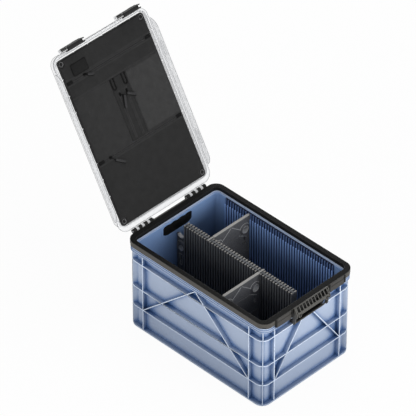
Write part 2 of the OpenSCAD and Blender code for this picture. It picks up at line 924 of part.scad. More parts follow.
module bottom_pocket() color("#303030") opened() {
    difference() {
        panel(-panel_x, panel_x, lower_zip_at + zip_w / 2 + seam, board_l - 3, pocket_low);
        corner_clear();
    }
}

module cross_zip(at) {
    panel(-panel_x, panel_x, at - zip_w / 2, at + zip_w / 2, pocket_low + 0.8);
}

module upper_zip() color("#222222") opened() {
    cross_zip(upper_zip_at);
}

module lower_zip() color("#222222") opened() {
    cross_zip(lower_zip_at);
}

module centre_zips() color("#222222") opened() {
    for (s = [-1, 1]) {
        x = strip_x + s * zip_spread / 2;
        block([x - zip_w / 2, mouth_y + zip_drop, strip_low - 1],
            [x + zip_w / 2, lower_zip_y - zip_w, strip_low]);
    }
}

// Zip slider lying along X, with its pull turned out of the zip's line
module slider(pull_len, pull_turn) {
    end_r = pull_w / 2;
    translate([0, 0, -slider_t]) linear_extrude(slider_t) {
        translate([-2, 0]) circle(slider_w / 2);
        translate([-2, -slider_w / 3]) square([8, slider_w / 1.5]);
    }
    rotate([0, 0, pull_turn]) translate([0, 0, pull_drop - slider_t]) linear_extrude(pull_t) difference() {
        union() {
            translate([1, -pull_w / 3]) square([pull_len - 1 - end_r, pull_w / 1.5]);
            translate([pull_len - end_r, 0]) circle(end_r);
        }
        translate([pull_len - end_r, 0]) circle(pull_hole_r);
    }
}

module upper_zip_slider() color("#161616") opened() {
    translate([-board_w / 2 + upper_slider_at, upper_zip_y, pocket_low + 0.8 - slider_gap])
        slider(upper_pull_len, upper_pull_turn);
}

module lower_zip_slider() color("#161616") opened() {
    translate([-board_w / 2 + lower_slider_at, lower_zip_y, pocket_low + 0.8 - slider_gap])
        slider(lower_pull_len, lower_pull_turn);
}

module centre_slider(s, pull_len, pull_turn) color("#161616") opened() {
    y = mouth_y + zip_drop + centre_slider_at;
    translate([strip_x + s * zip_spread / 2, y, strip_low - 1 - slider_gap])
        rotate([0, 0, 90]) slider(pull_len, pull_turn);
}

module centre_slider_left() {
    centre_slider(-1, left_pull_len, left_pull_turn);
}

module centre_slider_right() {
    centre_slider(1, right_pull_len, right_pull_turn);
}

module zip_end_tabs() color("#202020") opened() {
    for (s = [-1, 1], y = [upper_zip_y, lower_zip_y]) {
        x = s * (panel_x - tab_w / 2 - 1);
        block([x - tab_w / 2, y - 7, pocket_low - 1.1], [x + tab_w / 2, y + 7, pocket_low - fit]);
        block([x - tab_w / 2, y - 3, pocket_low - 0.5], [x + tab_w / 2, y + 3, pocket_low + 0.8]);
    }
}

module pen_loops() color("#202020") opened() {
    for (s = [-1, 1]) {
        translate([strip_x + s * 24, mouth_y + 21, strip_low - 2]) difference() {
            translate([-8, -20, 0]) cube([16, 40, 2]);
            translate([-5, -20 - past, -past]) cube([10, 36, 4]);
        }
    }
}

module blank_patch() color("#2b2b2b") opened() {
    x = -board_w / 2 + patch_side;
    y = board_front + patch_front;
    block([x, y, pocket_low - 1], [x + patch_w, y + patch_l, pocket_low]);
}

// Long divider wing: a plain end plate with a scoop, a finger ring and a keyhole
module wing_cuts(s) {
    y = s * (rack_y + (divider_y - rack_y) / 2);
    block([-core_t, min(s * rack_y, s * (divider_y + past)), wing_top],
        [core_t, max(s * rack_y, s * (divider_y + past)), divider_top + past]);
    rod_x(-core_t, core_t, y, wing_top + 5, ring_r);
    rod_x(-core_t, core_t, y, wing_top - wing_ring_drop, ring_r - small_rim);
    rod_x(-core_t, core_t, y, wing_top - wing_hole_drop, small_hole_r);
    low = wing_top - wing_hole_drop;
    block([-core_t, y - key_slot / 2, low], [core_t, y + key_slot / 2, low + slot_len]);
}

module long_divider() color("#2d2d2d") {
    difference() {
        block([-core_t / 2, -divider_y, divider_z], [core_t / 2, divider_y, divider_top]);
        wing_cuts(1);
        wing_cuts(-1);
    }
    for (i = [-slot_count / 2:slot_count / 2]) {
        block([-core_t / 2 - divider_tooth, i * slot_pitch - tooth_w / 2, divider_z],
            [core_t / 2 + divider_tooth, i * slot_pitch + tooth_w / 2, divider_top]);
    }
    for (s = [-1, 1]) {
        y = s * (rack_y + (divider_y - rack_y) / 2);
        difference() {
            rod_x(-core_t / 2 - line_t, core_t / 2 + line_t, y, wing_top - wing_ring_drop, ring_r);
            rod_x(-core_t, core_t, y, wing_top - wing_ring_drop, ring_r - small_rim);
        }
    }
}

// Cross divider from the long divider out to the wall on +X
module cross_divider(slot) color("#4c4c4c") {
    y = (slot + 0.5) * slot_pitch;
    t = cross_t / 2;
    difference() {
        union() {
            block([cross_in, y - t, divider_z], [cross_out, y + t, divider_top]);
            block([-core_t / 2 - divider_tooth, y - t, divider_top + fit],
                [cross_out - tooth_top_depth - past, y + t, divider_top + fit + cross_flange_t]);
            block([core_t / 2 + divider_tooth + past, y - cross_flange_w / 2, divider_top - 1],
                [cross_out - tooth_depth - 2 * past, y + cross_flange_w / 2,
                    divider_top + fit + cross_flange_t]);
            for (e = [-1, 1]) {
                x = cross_mid + e * ring_spread;
                rod_y(y - t - line_t, y + t + line_t, x, ring_z, ring_r + ring_wall);
                rod_y(y - t - line_t, y + t + line_t, x, ring_z - hole_drop, small_hole_r + small_rim);
            }
            for (drop = [line_high, line_low]) {
                block([cross_in + line_gap, y - t - line_t, divider_top - drop - line_t],
                    [cross_out - line_gap, y + t + line_t, divider_top - drop]);
            }
        }
        for (e = [-1, 1]) {
            x = cross_mid + e * ring_spread;
            rod_y(y - cross_t, y + cross_t, x, ring_z, ring_r);
            rod_y(y - cross_t, y + cross_t, x, ring_z - hole_drop, small_hole_r);
            low = ring_z - hole_drop;
            block([x - key_slot / 2, y - cross_t, low], [x + key_slot / 2, y + cross_t, low + slot_len]);
        }
    }
}

module cross_divider_rear() {
    cross_divider(rear_slot);
}

module cross_divider_front() {
    mirror([1, 0, 0]) cross_divider(front_slot);
}

crate_body();
rim_frame();
rim_gasket();
rim_screws();
front_housing();
rear_housing();
front_handle();
rear_handle();
front_handle_screws();
rear_handle_screws();
catch_left();
catch_right();
hinge_pin_left();
hinge_pin_right();
lid_shell();
latch_left();
latch_right();
latch_pin_left();
latch_pin_right();
organiser_board();
board_fasteners();
top_panel();
top_pocket();
left_pocket();
right_pocket();
centre_strip();
bottom_pocket();
upper_zip();
lower_zip();
centre_zips();
upper_zip_slider();
lower_zip_slider();
centre_slider_left();
centre_slider_right();
zip_end_tabs();
pen_loops();
blank_patch();
long_divider();
cross_divider_rear();
cross_divider_front();
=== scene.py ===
import json
import math

import bmesh
import bpy
from mathutils import Matrix, Vector, noise


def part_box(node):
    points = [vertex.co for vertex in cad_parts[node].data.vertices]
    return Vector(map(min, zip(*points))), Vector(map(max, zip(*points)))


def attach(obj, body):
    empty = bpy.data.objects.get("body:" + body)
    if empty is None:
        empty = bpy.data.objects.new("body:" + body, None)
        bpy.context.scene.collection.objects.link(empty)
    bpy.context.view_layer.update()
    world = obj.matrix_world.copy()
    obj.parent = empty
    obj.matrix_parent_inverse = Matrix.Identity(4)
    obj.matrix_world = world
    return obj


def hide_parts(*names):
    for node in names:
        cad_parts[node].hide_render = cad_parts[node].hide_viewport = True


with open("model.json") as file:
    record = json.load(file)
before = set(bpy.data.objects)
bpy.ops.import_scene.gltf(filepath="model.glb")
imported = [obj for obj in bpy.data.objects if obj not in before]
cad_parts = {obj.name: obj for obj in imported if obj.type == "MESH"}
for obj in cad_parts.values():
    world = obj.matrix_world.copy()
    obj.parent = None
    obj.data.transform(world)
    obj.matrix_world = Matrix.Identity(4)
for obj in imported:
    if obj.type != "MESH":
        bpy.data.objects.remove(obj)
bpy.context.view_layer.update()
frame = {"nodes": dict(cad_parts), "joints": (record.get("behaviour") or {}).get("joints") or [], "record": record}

nodes = frame["nodes"]
scene = bpy.context.scene
mm = 0.001
print("frame loaded:", len(nodes), "nodes")

# The lid is drawn closed and then swung open about the frame's own hinge
joints = {joint["name"]: joint for joint in frame["joints"]}
hinge = joints["lid_hinge"]
latchSwing = math.radians(joints["left_latch_pivot"]["range_deg"][0])


def turnAbout(point, angle):
    there = Matrix.Translation(point)
    return there @ Matrix.Rotation(angle, 4, "X") @ there.inverted()


lidOpen = turnAbout(Vector(hinge["pos_m"]), math.radians(hinge["range_deg"][0]))


# Node trees

def paint(r, g, b):
    return [((c / 255 + 0.055) / 1.055) ** 2.4 if c > 10 else c / 255 / 12.92 for c in (r, g, b)] + [1]


def grey(level):
    return (level, level, level, 1)


class Finish:
    def __init__(self, name, **sockets):
        self.material = bpy.data.materials.new(name)
        self.material.use_nodes = True
        self.tree = self.material.node_tree
        self.shader = self.tree.nodes["Principled BSDF"]
        self.where = self.add("TexCoord").outputs["Object"]
        for key, value in sockets.items():
            self.shader.inputs[key.replace("_", " ")].default_value = value

    def add(self, kind, inputs=None, **settings):
        node = self.tree.nodes.new("ShaderNode" + kind)
        for key, value in settings.items():
            setattr(node, key, value)
        for key, value in (inputs or {}).items():
            if isinstance(value, bpy.types.NodeSocket):
                self.tree.links.new(value, node.inputs[key])
            else:
                node.inputs[key].default_value = value
        return node

    def feed(self, socket, value):
        self.tree.links.new(value, self.shader.inputs[socket])

    def grain(self, scale, detail=2.0, where=None):
        inputs = {"Vector": where or self.where, "Scale": scale, "Detail": detail}
        return self.add("TexNoise", inputs).outputs["Fac"]

    # Ambient occlusion, used to paint shade into corners, creases and slots
    def creviceShade(self, reach, samples=8):
        node = self.add("AmbientOcclusion", {"Distance": reach}, samples=samples, only_local=True)
        return node.outputs["AO"]

    def ramp(self, factor, *stops):
        ramp = self.add("ValToRGB", {"Fac": factor})
        while len(ramp.color_ramp.elements) < len(stops):
            ramp.color_ramp.elements.new(0.5)
        for element, (place, colour) in zip(ramp.color_ramp.elements, stops):
            element.position = place
            element.color = colour
        return ramp.outputs["Color"]

    def mix(self, factor, a, b, blend="MIX"):
        node = self.add("MixRGB", {"Fac": factor, "Color1": a, "Color2": b}, blend_type=blend)
        return node.outputs["Color"]

    # The colour multiplied by a ramp over a value
    def darken(self, colour, amount, value, *stops):
        return self.mix(amount, colour, self.ramp(value, *stops), "MULTIPLY")

    def maths(self, kind, a, b):
        return self.add("Math", {0: a, 1: b}, operation=kind).outputs["Value"]

    def every(self, first, *others):
        for other in others:
            first = self.maths("MULTIPLY", first, other)
        return first

    def span(self, value, low, high):
        return self.add("MapRange", {"Value": value, "To Min": low, "To Max": high}).outputs["Result"]

    def step(self, value, low, high):
        return self.add("MapRange", {"Value": value, "From Min": low, "From Max": high}).outputs["Result"]

    def axes(self, where=None):
        return self.add("SeparateXYZ", {"Vector": where or self.where}).outputs

    def aside(self, axis):
        return self.maths("ABSOLUTE", self.axes()[axis], 0.0)

    # How far a point stands outside a rounded rectangle in plan, negative inside it
    def beyond(self, halfX, halfY, radius):
        away = [self.maths("SUBTRACT", self.aside(axis), half - radius)
                for axis, half in (("X", halfX), ("Y", halfY))]
        out = [self.maths("MAXIMUM", a, 0.0) for a in away]
        corner = self.maths("ADD", self.every(out[0], out[0]), self.every(out[1], out[1]))
        inner = self.maths("MINIMUM", self.maths("MAXIMUM", away[0], away[1]), 0.0)
        return self.maths("SUBTRACT", self.maths("ADD", self.maths("SQRT", corner, 0.0), inner), radius)

    def bump(self, height, strength, depth):
        node = self.add("Bump", {"Height": height, "Strength": strength, "Distance": depth})
        self.feed("Normal", node.outputs["Normal"])

    def surface(self, colour, fine, roughness, strength, depth=0.0003):
        self.feed("Base Color", colour)
        self.feed("Roughness", self.span(fine, *roughness))
        self.bump(fine, strength, depth)


white = grey(1)

# Pale ribs and panels outside, with painted shade in the deep corners and towards the bottom and a painted
# highlight on the ribs' outer faces; darker walls and racks inside as painted shade, darker further down, with
# painted shade in the slots and grooves and a painted highlight on the teeth's tips; places are in metres
blueLook = {
    "tones": {"deep": (48, 77, 120), "low": (84, 115, 161), "open": (160, 173, 194), "edge": (206, 217, 232),
              "foot": (212, 214, 218), "wallHigh": (116, 144, 186), "wallLow": (48, 74, 118),
              "groove": (20, 29, 50), "flank": (42, 58, 94), "tip": (128, 160, 214),
              "rackLow": (176, 182, 196)},
    "plan": (0.2, 0.2975, 0.0315),  # half width, half length and corner radius of the ribs' outer faces
    "ribOut": (-0.0022, -0.0008), "ribFoot": (0.004, 0.007), "ribTop": (0.304, 0.302),
    "footRise": (0.0, 0.24), "wallRise": (0.02, 0.33), "wallIn": (-0.0182, -0.0188),
    "toothIn": (-0.0212, -0.0278), "rackX": (0.165, 0.1656), "rackY": (0.2386, 0.2382),
    "corner": 0.034, "slot": 0.008, "cloud": 9.0, "grain": 1400.0, "roughness": (0.42, 0.56),
}


def bluePlastic():
    look = Finish("bluePlastic", Specular_IOR_Level=0.3)
    tone = {name: paint(*rgb) for name, rgb in blueLook["tones"].items()}
    out = look.beyond(*blueLook["plan"])
    height = look.axes()["Z"]
    # Painted shade: outside, ambient occlusion runs the tone from the deep blue in the corners to the open tone on
    # the panels
    shade = look.creviceShade(blueLook["corner"], 12)
    outside = look.ramp(shade, (0.2, tone["deep"]), (0.5, tone["low"]), (0.82, tone["open"]),
                        (1.0, tone["open"]))
    # Painted highlight: the ribs' outer faces take the pale edge tone
    ribs = look.every(look.step(out, *blueLook["ribOut"]), look.step(height, *blueLook["ribTop"]),
                      look.step(height, *blueLook["ribFoot"]))
    outside = look.mix(ribs, outside, tone["edge"])
    # Painted shade: the outside darkens towards the bottom
    outside = look.darken(outside, 1.0, look.step(height, *blueLook["footRise"]), (0.0, tone["foot"]),
                          (1.0, white))
    # Painted shade: the inside walls darken further down, and more in their corners and slots
    rise = look.step(height, *blueLook["wallRise"])
    inside = look.ramp(rise, (0.0, tone["wallLow"]), (1.0, tone["wallHigh"]))
    inside = look.darken(inside, 0.5, shade, (0.15, (0.25, 0.27, 0.32, 1)), (0.9, white))
    inside = look.darken(inside, 0.85, look.creviceShade(blueLook["slot"]), (0.25, (0.12, 0.13, 0.17, 1)),
                         (0.7, white))
    # Painted shade in the grooves between the rack's teeth and a painted highlight on their tips, all darker
    # further down
    teeth = look.ramp(look.step(out, *blueLook["toothIn"]), (0.0, tone["groove"]), (0.45, tone["flank"]),
                      (0.85, tone["tip"]))
    teeth = look.darken(teeth, 1.0, rise, (0.0, tone["rackLow"]), (1.0, white))
    racks = look.every(look.step(look.aside("X"), *blueLook["rackX"]),
                       look.step(look.aside("Y"), *blueLook["rackY"]))
    inside = look.mix(racks, inside, teeth)
    # Painted shade: the faces inside the walls' plane take the darker inside tones
    colour = look.mix(look.step(out, *blueLook["wallIn"]), outside, inside)
    colour = look.darken(colour, 0.08, look.grain(blueLook["cloud"], 3.0), (0.3, grey(0.6)), (0.7, white))
    look.surface(colour, look.grain(blueLook["grain"], 4.0), blueLook["roughness"], 0.12, 0.0004)
    return look.material


# A mottled grey or black, darkened in its creases as painted shade; the optional top tone is a painted highlight
# on the upper faces, as if lit from above, given as a height, how far left and right of the middle it starts, and
# a tone
def mouldedPlastic(name, dark, light, grain=1700.0, roughness=(0.36, 0.52), strength=0.18, litTop=None,
                   shine=0.2, creaseShade=0.5):
    look = Finish(name, Specular_IOR_Level=shine)
    colour = look.ramp(look.grain(grain / 3, 5.0), (0.35, paint(*dark)), (0.75, paint(*light)))
    # Painted shade in the creases
    colour = look.darken(colour, creaseShade, look.creviceShade(0.008), (0.3, grey(0.35)), (0.95, white))
    # Painted highlight: faces above the height and outside the middle band take the lighter tone
    if litTop:
        height, left, right, tone = litTop
        fade = 0.0004
        parts = look.axes()
        side = look.maths("MAXIMUM", look.step(parts["X"], right, right + fade),
                          look.step(parts["X"], -left, -left - fade))
        top = look.every(look.step(parts["Z"], height - fade, height), side)
        colour = look.mix(top, colour, paint(*tone))
    look.surface(colour, look.grain(grain, 4.0), roughness, strength)
    return look.material


# The rim's outer side faces are painted lighter than its upward faces, as if lit from the side, and the stretch
# behind each grip keeps the dark tone as painted shade; places are in metres
rimLook = {"dark": (64, 62, 59), "light": (86, 84, 80), "top": (20, 20, 19), "plan": (0.2035, 0.306, 0.035),
           "sideIn": (-0.0012, -0.0006), "sideOut": (0.0014, 0.0008), "gripX": (0.078, 0.0775),
           "gripY": (0.3, 0.3004), "upward": (0.35, 0.75), "edge": (0.3424, 0.3434), "roughness": (0.4, 0.55)}


def rimPlastic():
    look = Finish("rimPlastic", Specular_IOR_Level=0.15)
    top = paint(*rimLook["top"])
    side = look.ramp(look.grain(560.0, 5.0), (0.35, paint(*rimLook["dark"])),
                     (0.75, paint(*rimLook["light"])))
    up = look.axes(look.add("TexCoord").outputs["Normal"])["Z"]
    out = look.beyond(*rimLook["plan"])
    # Painted shade: behind each grip the outer side keeps the dark tone
    grip = look.every(look.step(look.aside("X"), *rimLook["gripX"]),
                      look.step(look.aside("Y"), *rimLook["gripY"]))
    outer = look.every(look.step(out, *rimLook["sideIn"]), look.step(out, *rimLook["sideOut"]),
                       look.maths("SUBTRACT", 1.0, grip))
    # Painted light: upward faces take the dark top tone, the outer side faces the lighter side tones
    colour = look.mix(look.step(up, *rimLook["upward"]), side, top)
    colour = look.mix(look.step(look.axes()["Z"], *rimLook["edge"]), colour, top)
    look.surface(look.mix(outer, top, colour), look.grain(1700.0, 4.0), rimLook["roughness"], 0.18)
    return look.material


# Height of the roof's inner face on the closed lid, in metres, and how dense the roof looks
roofLook = {"height": 0.3663, "fade": (-0.0006, -0.0003), "cover": 0.05}


# Clear plastic; thin walls catch the light, and a lid's flat roof lets it through
def clearPlastic(name, cover, pale, dark, roof=False):
    look = Finish(name, Roughness=0.14, Specular_IOR_Level=0.4)
    facing = look.add("LayerWeight", {"Blend": 0.32}).outputs["Facing"]
    look.feed("Base Color", look.ramp(facing, (0.0, paint(*pale)), (0.7, paint(*pale)), (1.0, paint(*dark))))
    dense = look.add("MapRange", {"Value": facing, "From Max": 0.85, "To Min": cover[0], "To Max": cover[1]})
    dense = dense.outputs["Result"]
    if roof:
        shut = lidOpen.inverted()
        closed = look.add("Mapping", {"Vector": look.where, "Location": shut.to_translation(),
                                      "Rotation": shut.to_euler()}).outputs["Vector"]
        thin = look.step(look.axes(closed)["Z"], *[roofLook["height"] + fade for fade in roofLook["fade"]])
        dense = look.add("Mix", {"Factor": thin, "A": dense, "B": roofLook["cover"]}).outputs["Result"]
    look.feed("Alpha", look.maths("ADD", dense, look.span(look.grain(26.0, 3.0), -0.03, 0.04)))
    look.bump(look.grain(60.0, 2.0), 0.06, 0.001)
    return look.material


def brightSteel():
    look = Finish("brightSteel", Metallic=1.0)
    streaks = look.add("Mapping", {"Vector": look.where, "Scale": (30.0, 900.0, 900.0)}).outputs["Vector"]
    drawn = look.grain(1.0, 3.0, streaks)
    colour = look.ramp(drawn, (0.3, paint(140, 141, 145)), (0.8, paint(196, 197, 201)))
    look.surface(colour, drawn, (0.2, 0.42), 0.1, 0.0002)
    return look.material


# Two crossed waves on the cloth's own flat pattern; pitch is the weave's in metres
def wovenCloth(name, dark, light, pitch=0.0011, puffy=0.25):
    look = Finish(name, Specular_IOR_Level=0.08, Sheen_Weight=0.04, Sheen_Roughness=0.5)
    flat = look.add("UVMap", uv_map="weave").outputs["UV"]
    waves = []
    for axis, shift in (("X", 0.0), ("Y", 0.5)):
        inputs = {"Vector": flat, "Scale": 2 / (pitch * math.tau), "Distortion": 0.4, "Detail": 1.0,
                  "Phase Offset": shift}
        waves.append(look.add("TexWave", inputs, wave_type="BANDS", bands_direction=axis).outputs["Fac"])
    weave = look.every(*waves)
    blotch = look.grain(38.0, 4.0, flat)
    tone = look.maths("ADD", look.every(weave, 0.5), look.every(blotch, 0.6))
    look.feed("Base Color", look.ramp(tone, (0.2, paint(*dark)), (0.8, paint(*light))))
    look.feed("Roughness", look.span(blotch, 0.72, 0.95))
    look.bump(weave, puffy, 0.0004)
    return look.material


def sealRubber():
    look = Finish("sealRubber", Specular_IOR_Level=0.08)
    fine = look.grain(900.0, 3.0)
    colour = look.ramp(fine, (0.3, paint(11, 11, 11)), (0.8, paint(19, 19, 19)))
    look.surface(colour, fine, (0.55, 0.75), 0.2)
    return look.material


blue = bluePlastic()
rim = rimPlastic()
steel = brightSteel()
rubber = sealRubber()
clear = clearPlastic("clearPlastic", (0.42, 0.6), (236, 237, 238), (206, 208, 210), True)
edgeClear = clearPlastic("clearEdge", (0.9, 0.96), (138, 139, 141), (104, 105, 107))
bead = clearPlastic("clearBead", (0.9, 0.96), (176, 178, 180), (120, 121, 123))
black = mouldedPlastic("blackPlastic", (34, 33, 31), (48, 46, 43))
holdBlack = mouldedPlastic("holdPlastic", (10, 10, 10), (16, 16, 16))
catchGrey = mouldedPlastic("catchPlastic", (46, 45, 43), (64, 62, 60))
# Full painted shade in the handle's slots and creases
handleGrey = mouldedPlastic("handlePlastic", (62, 61, 58), (86, 85, 81), creaseShade=1.0)
latchBlack = mouldedPlastic("latchPlastic", (14, 14, 14), (24, 24, 25))
# Painted highlight: the latch's black plastic in grey, for its barrel and finger lip where they catch the light
latchHighlightGrey = mouldedPlastic("latchPaintedHighlight", (58, 58, 58), (86, 86, 85))
# Painted highlight on the dividers' top faces
dividerBlack = mouldedPlastic("dividerPlastic", (74, 76, 79), (94, 96, 100), 1100.0,
                              litTop=(0.3215, 0.0075, 0.0035, (126, 124, 120)))
crossGrey = mouldedPlastic("crossPlastic", (78, 79, 82), (102, 103, 106), 1100.0,
                           litTop=(0.3245, 0.0, 0.0, (146, 145, 142)))
# Painted highlight: ridges and dishes on the dividers in lighter grey than the divider plastic, where they catch
# the light
paleHighlightGrey = mouldedPlastic("dividerPaintedHighlight", (140, 141, 143), (174, 175, 177), 1300.0)
archHighlightGrey = mouldedPlastic("archPaintedHighlight", (108, 110, 112), (134, 136, 138), 1300.0)
boardBlack = mouldedPlastic("boardPlastic", (18, 18, 19), (27, 27, 28))
screwBlack = mouldedPlastic("screwBlack", (18, 18, 18), (30, 30, 30), 2400.0, (0.25, 0.4))
fastenerBlack = mouldedPlastic("fastenerPlastic", (14, 14, 14), (26, 26, 26), 2200.0, (0.25, 0.4), shine=0.1)
# Painted highlight: the rivets' raised ring in light grey, as a glint
fastenerGlintRing = mouldedPlastic("fastenerGlintRing", (96, 96, 97), (120, 120, 121), 2200.0, (0.25, 0.4))
zipTeeth = mouldedPlastic("zipTeeth", (12, 12, 13), (26, 26, 27), 2600.0, (0.3, 0.45), 0.1)
pullBlack = mouldedPlastic("pullRubberAndShadow", (3, 3, 3), (8, 8, 8), 2200.0, shine=0.06)
pullGrey = mouldedPlastic("pullEnd", (38, 38, 39), (56, 56, 57), 2200.0, shine=0.1)
thread = mouldedPlastic("stitchThread", (20, 20, 21), (40, 40, 41), 3000.0, (0.7, 0.9), 0.3)
darkCloth = wovenCloth("darkCloth", (32, 32, 32), (46, 46, 46))
greyCloth = wovenCloth("greyCloth", (37, 37, 37), (52, 52, 52))
paleCloth = wovenCloth("paleCloth", (45, 45, 45), (61, 61, 61))
tape = wovenCloth("zipTape", (42, 42, 42), (58, 58, 58), 0.0008, 0.3)
elastic = wovenCloth("elasticBand", (8, 8, 8), (15, 15, 15), 0.0009, 0.5)
hemCloth = wovenCloth("hemCloth", (40, 40, 40), (56, 56, 56), 0.0009, 0.3)
patchCloth = wovenCloth("patchCloth", (22, 22, 22), (33, 33, 33), 0.0009, 0.5)
print("finishes made")


# Pieces

def addPiece(bm, name, body, material, replaced=(), smooth=30):
    mesh = bpy.data.meshes.new(name)
    bm.to_mesh(mesh)
    bm.free()
    mesh.polygons.foreach_set("use_smooth", [True] * len(mesh.polygons))
    mesh.set_sharp_from_angle(angle=math.radians(smooth))
    mesh.materials.append(material)
    piece = bpy.data.objects.new(name, mesh)
    scene.collection.objects.link(piece)
    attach(piece, body)
    if replaced:
        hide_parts(*replaced)
    return piece


def mergedCopy(node):
    bm = bmesh.new()
    bm.from_mesh(nodes[node].data)
    bmesh.ops.remove_doubles(bm, verts=bm.verts, dist=1e-6)
    return bm


def roundEdges(bm, width, segments=2, angle=35.0):
    sharp = [e for e in bm.edges if len(e.link_faces) == 2 and e.calc_face_angle(0) > math.radians(angle)]
    bmesh.ops.bevel(bm, geom=sharp, offset=width, segments=segments, profile=0.5, affect="EDGES",
                    clamp_overlap=False, material=-1)


def dress(node, material, width):
    bm = mergedCopy(node)
    roundEdges(bm, width * mm)
    piece = addPiece(bm, node + "_moulded", bodyOf[node], material, [node], 50)
    piece.modifiers.new("flatFaces", "WEIGHTED_NORMAL").keep_sharp = True


# Small shapes in millimetres, on the closed lid's or the crate's own axes

def softBlock(size, soft=0.5, segments=2):
    bm = bmesh.new()
    bmesh.ops.create_cube(bm, size=1)
    bmesh.ops.scale(bm, verts=bm.verts, vec=size)
    bmesh.ops.bevel(bm, geom=bm.edges[:], offset=soft, segments=segments, profile=0.5, affect="EDGES",
                    clamp_overlap=True, material=-1)
    return bm


def softPlate(points, thick, soft):
    bm = bmesh.new()
    face = bm.faces.new([bm.verts.new((x, y, 0)) for x, y in points])
    raised = bmesh.ops.extrude_face_region(bm, geom=[face])["geom"]
    bmesh.ops.translate(bm, verts=[v for v in raised if isinstance(v, bmesh.types.BMVert)], vec=(0, 0, thick))
    bmesh.ops.recalc_face_normals(bm, faces=bm.faces)
    roundEdges(bm, soft, 2, 30.0)
    return bm


def arc(centre, radius, start, end, steps=8):
    turns = [math.radians(start + (end - start) * i / steps) for i in range(steps + 1)]
    return [(centre[0] + radius * math.cos(t), centre[1] + radius * math.sin(t)) for t in turns]


def roundedRect(w, l, r, steps=5, centre=(0, 0)):
    corners = [(w / 2 - r, l / 2 - r, 0), (r - w / 2, l / 2 - r, 90), (r - w / 2, r - l / 2, 180),
               (w / 2 - r, r - l / 2, 270)]
    return [p for x, y, turn in corners
            for p in arc((centre[0] + x, centre[1] + y), r, turn, turn + 90, steps)]


def oval(w, h, steps=10):
    return [(w / 2 * math.cos(math.tau * i / steps), h / 2 * math.sin(math.tau * i / steps))
            for i in range(steps)]


def spun(profile, sides=28, closed=True):
    bm = bmesh.new()
    ring = [bm.verts.new((r, 0, z)) for r, z in profile]
    edges = [bm.edges.new((ring[i - 1], ring[i])) for i in range(0 if closed else 1, len(ring))]
    bmesh.ops.spin(bm, geom=ring + edges, cent=(0, 0, 0), axis=(0, 0, 1), angle=math.tau, steps=sides,
                   use_merge=True)
    bmesh.ops.remove_doubles(bm, verts=bm.verts, dist=1e-5)
    bmesh.ops.recalc_face_normals(bm, faces=bm.faces)
    return bm


# Rings of points joined corner to corner, because bridging turns them at a path's sharp ends; an open run is
# closed with a face at each end
def loft(bm, rings, closed=False):
    loops = [[bm.verts.new(point) for point in ring] for ring in rings]
    for here, there in zip(loops, loops[1:] + (loops[:1] if closed else [])):
        for corners in zip(here, here[1:] + here[:1], there[1:] + there[:1], there):
            bm.faces.new(corners)
    if not closed:
        bm.faces.new(loops[0])
        bm.faces.new(loops[-1])


# A profile (out, up) carried along a path; up is the way that the profile's second value points
def sweep(path, profile, closed=False, up=(0, 0, 1)):
    bm = bmesh.new()
    points = [Vector(p) for p in path]
    up = Vector(up)
    rings = []
    for i, p in enumerate(points):
        before = points[i - 1] if closed or i else p
        after = points[(i + 1) % len(points)] if closed or i < len(points) - 1 else p
        side = (after - before).normalized().cross(up).normalized()
        rings.append([p + side * a + up * b for a, b in profile])
    loft(bm, rings, closed)
    bmesh.ops.recalc_face_normals(bm, faces=bm.faces)
    return bm


def sweepRound(outline, z, profile):
    return sweep([(x, y, z) for x, y in outline], profile, True)


def at(x, y, z, turn=0.0, axis="Z"):
    return Matrix.Translation((x, y, z)) @ Matrix.Rotation(math.radians(turn), 4, axis)


def stamp(bm, part, places=(Matrix(),)):
    mesh = bpy.data.meshes.new("stamp")
    part.to_mesh(mesh)
    part.free()
    for place in places:
        copy = mesh.copy()
        copy.transform(place)
        bm.from_mesh(copy)
        bpy.data.meshes.remove(copy)
    bpy.data.meshes.remove(mesh)


def layWeave(bm):
    layer = bm.loops.layers.uv.new("weave")
    for face in bm.faces:
        for loop in face.loops:
            loop[layer].uv = Vector((loop.vert.co.x, loop.vert.co.y)) * mm


def place(bm, name, body, material, slotName, replaced=(), smooth=40, frameOf=Matrix()):
    layWeave(bm)
    bmesh.ops.scale(bm, verts=bm.verts, vec=(mm, mm, mm))
    bm.transform(frameOf)
    return addPiece(bm, name, body, material, replaced, smooth)


def onLid(bm, name, material, slotName, replaced=(), smooth=40, body="lid"):
    return place(bm, name, body, material, slotName, replaced, smooth, lidOpen)


# A node's box in millimetres, either on the closed lid or at rest
class Box:
    def __init__(self, places):
        self.low = Vector([min(p[i] for p in places) for i in range(3)]) / mm
        self.high = Vector([max(p[i] for p in places) for i in range(3)]) / mm
        self.mid = (self.low + self.high) / 2
        self.size = self.high - self.low


def lidBox(node):
    shut = lidOpen.inverted()
    return Box([shut @ v.co for v in nodes[node].data.vertices])


def restBox(node):
    return Box(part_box(node))


# Finish and edge radius in millimetres of the nodes whose CAD shape is right as it is
bodyOf = {n: b for b, members in frame["record"]["behaviour"]["bodies"].items() for n in members}
slotOf = {s["node"]: s["material_slot"] for s in frame["record"]["subparts"]}
plain = {
    "crate_body": (blue, 0.7),
    "rim_frame": (rim, 0.5),
    "rim_gasket": (rubber, 0.6),
    "rim_screws": (steel, 0.3),
    "front_housing": (holdBlack, 0.5),
    "rear_housing": (holdBlack, 0.5),
    "catch_left": (catchGrey, 0.5),
    "catch_right": (catchGrey, 0.5),
    "hinge_pin_left": (steel, 0.3),
    "hinge_pin_right": (steel, 0.3),
    "lid_shell": (clear, 0.5),
    "latch_pin_left": (steel, 0.3),
    "latch_pin_right": (steel, 0.3),
    "organiser_board": (boardBlack, 0.5),
    "long_divider": (dividerBlack, 0.4),
    "cross_divider_rear": (crossGrey, 0.4),
    "cross_divider_front": (crossGrey, 0.4),
}
for node, (material, width) in plain.items():
    dress(node, material, width)
print("solid pieces dressed")


# The organiser's cloth, laid out flat on the closed lid: out of the board is towards -Z

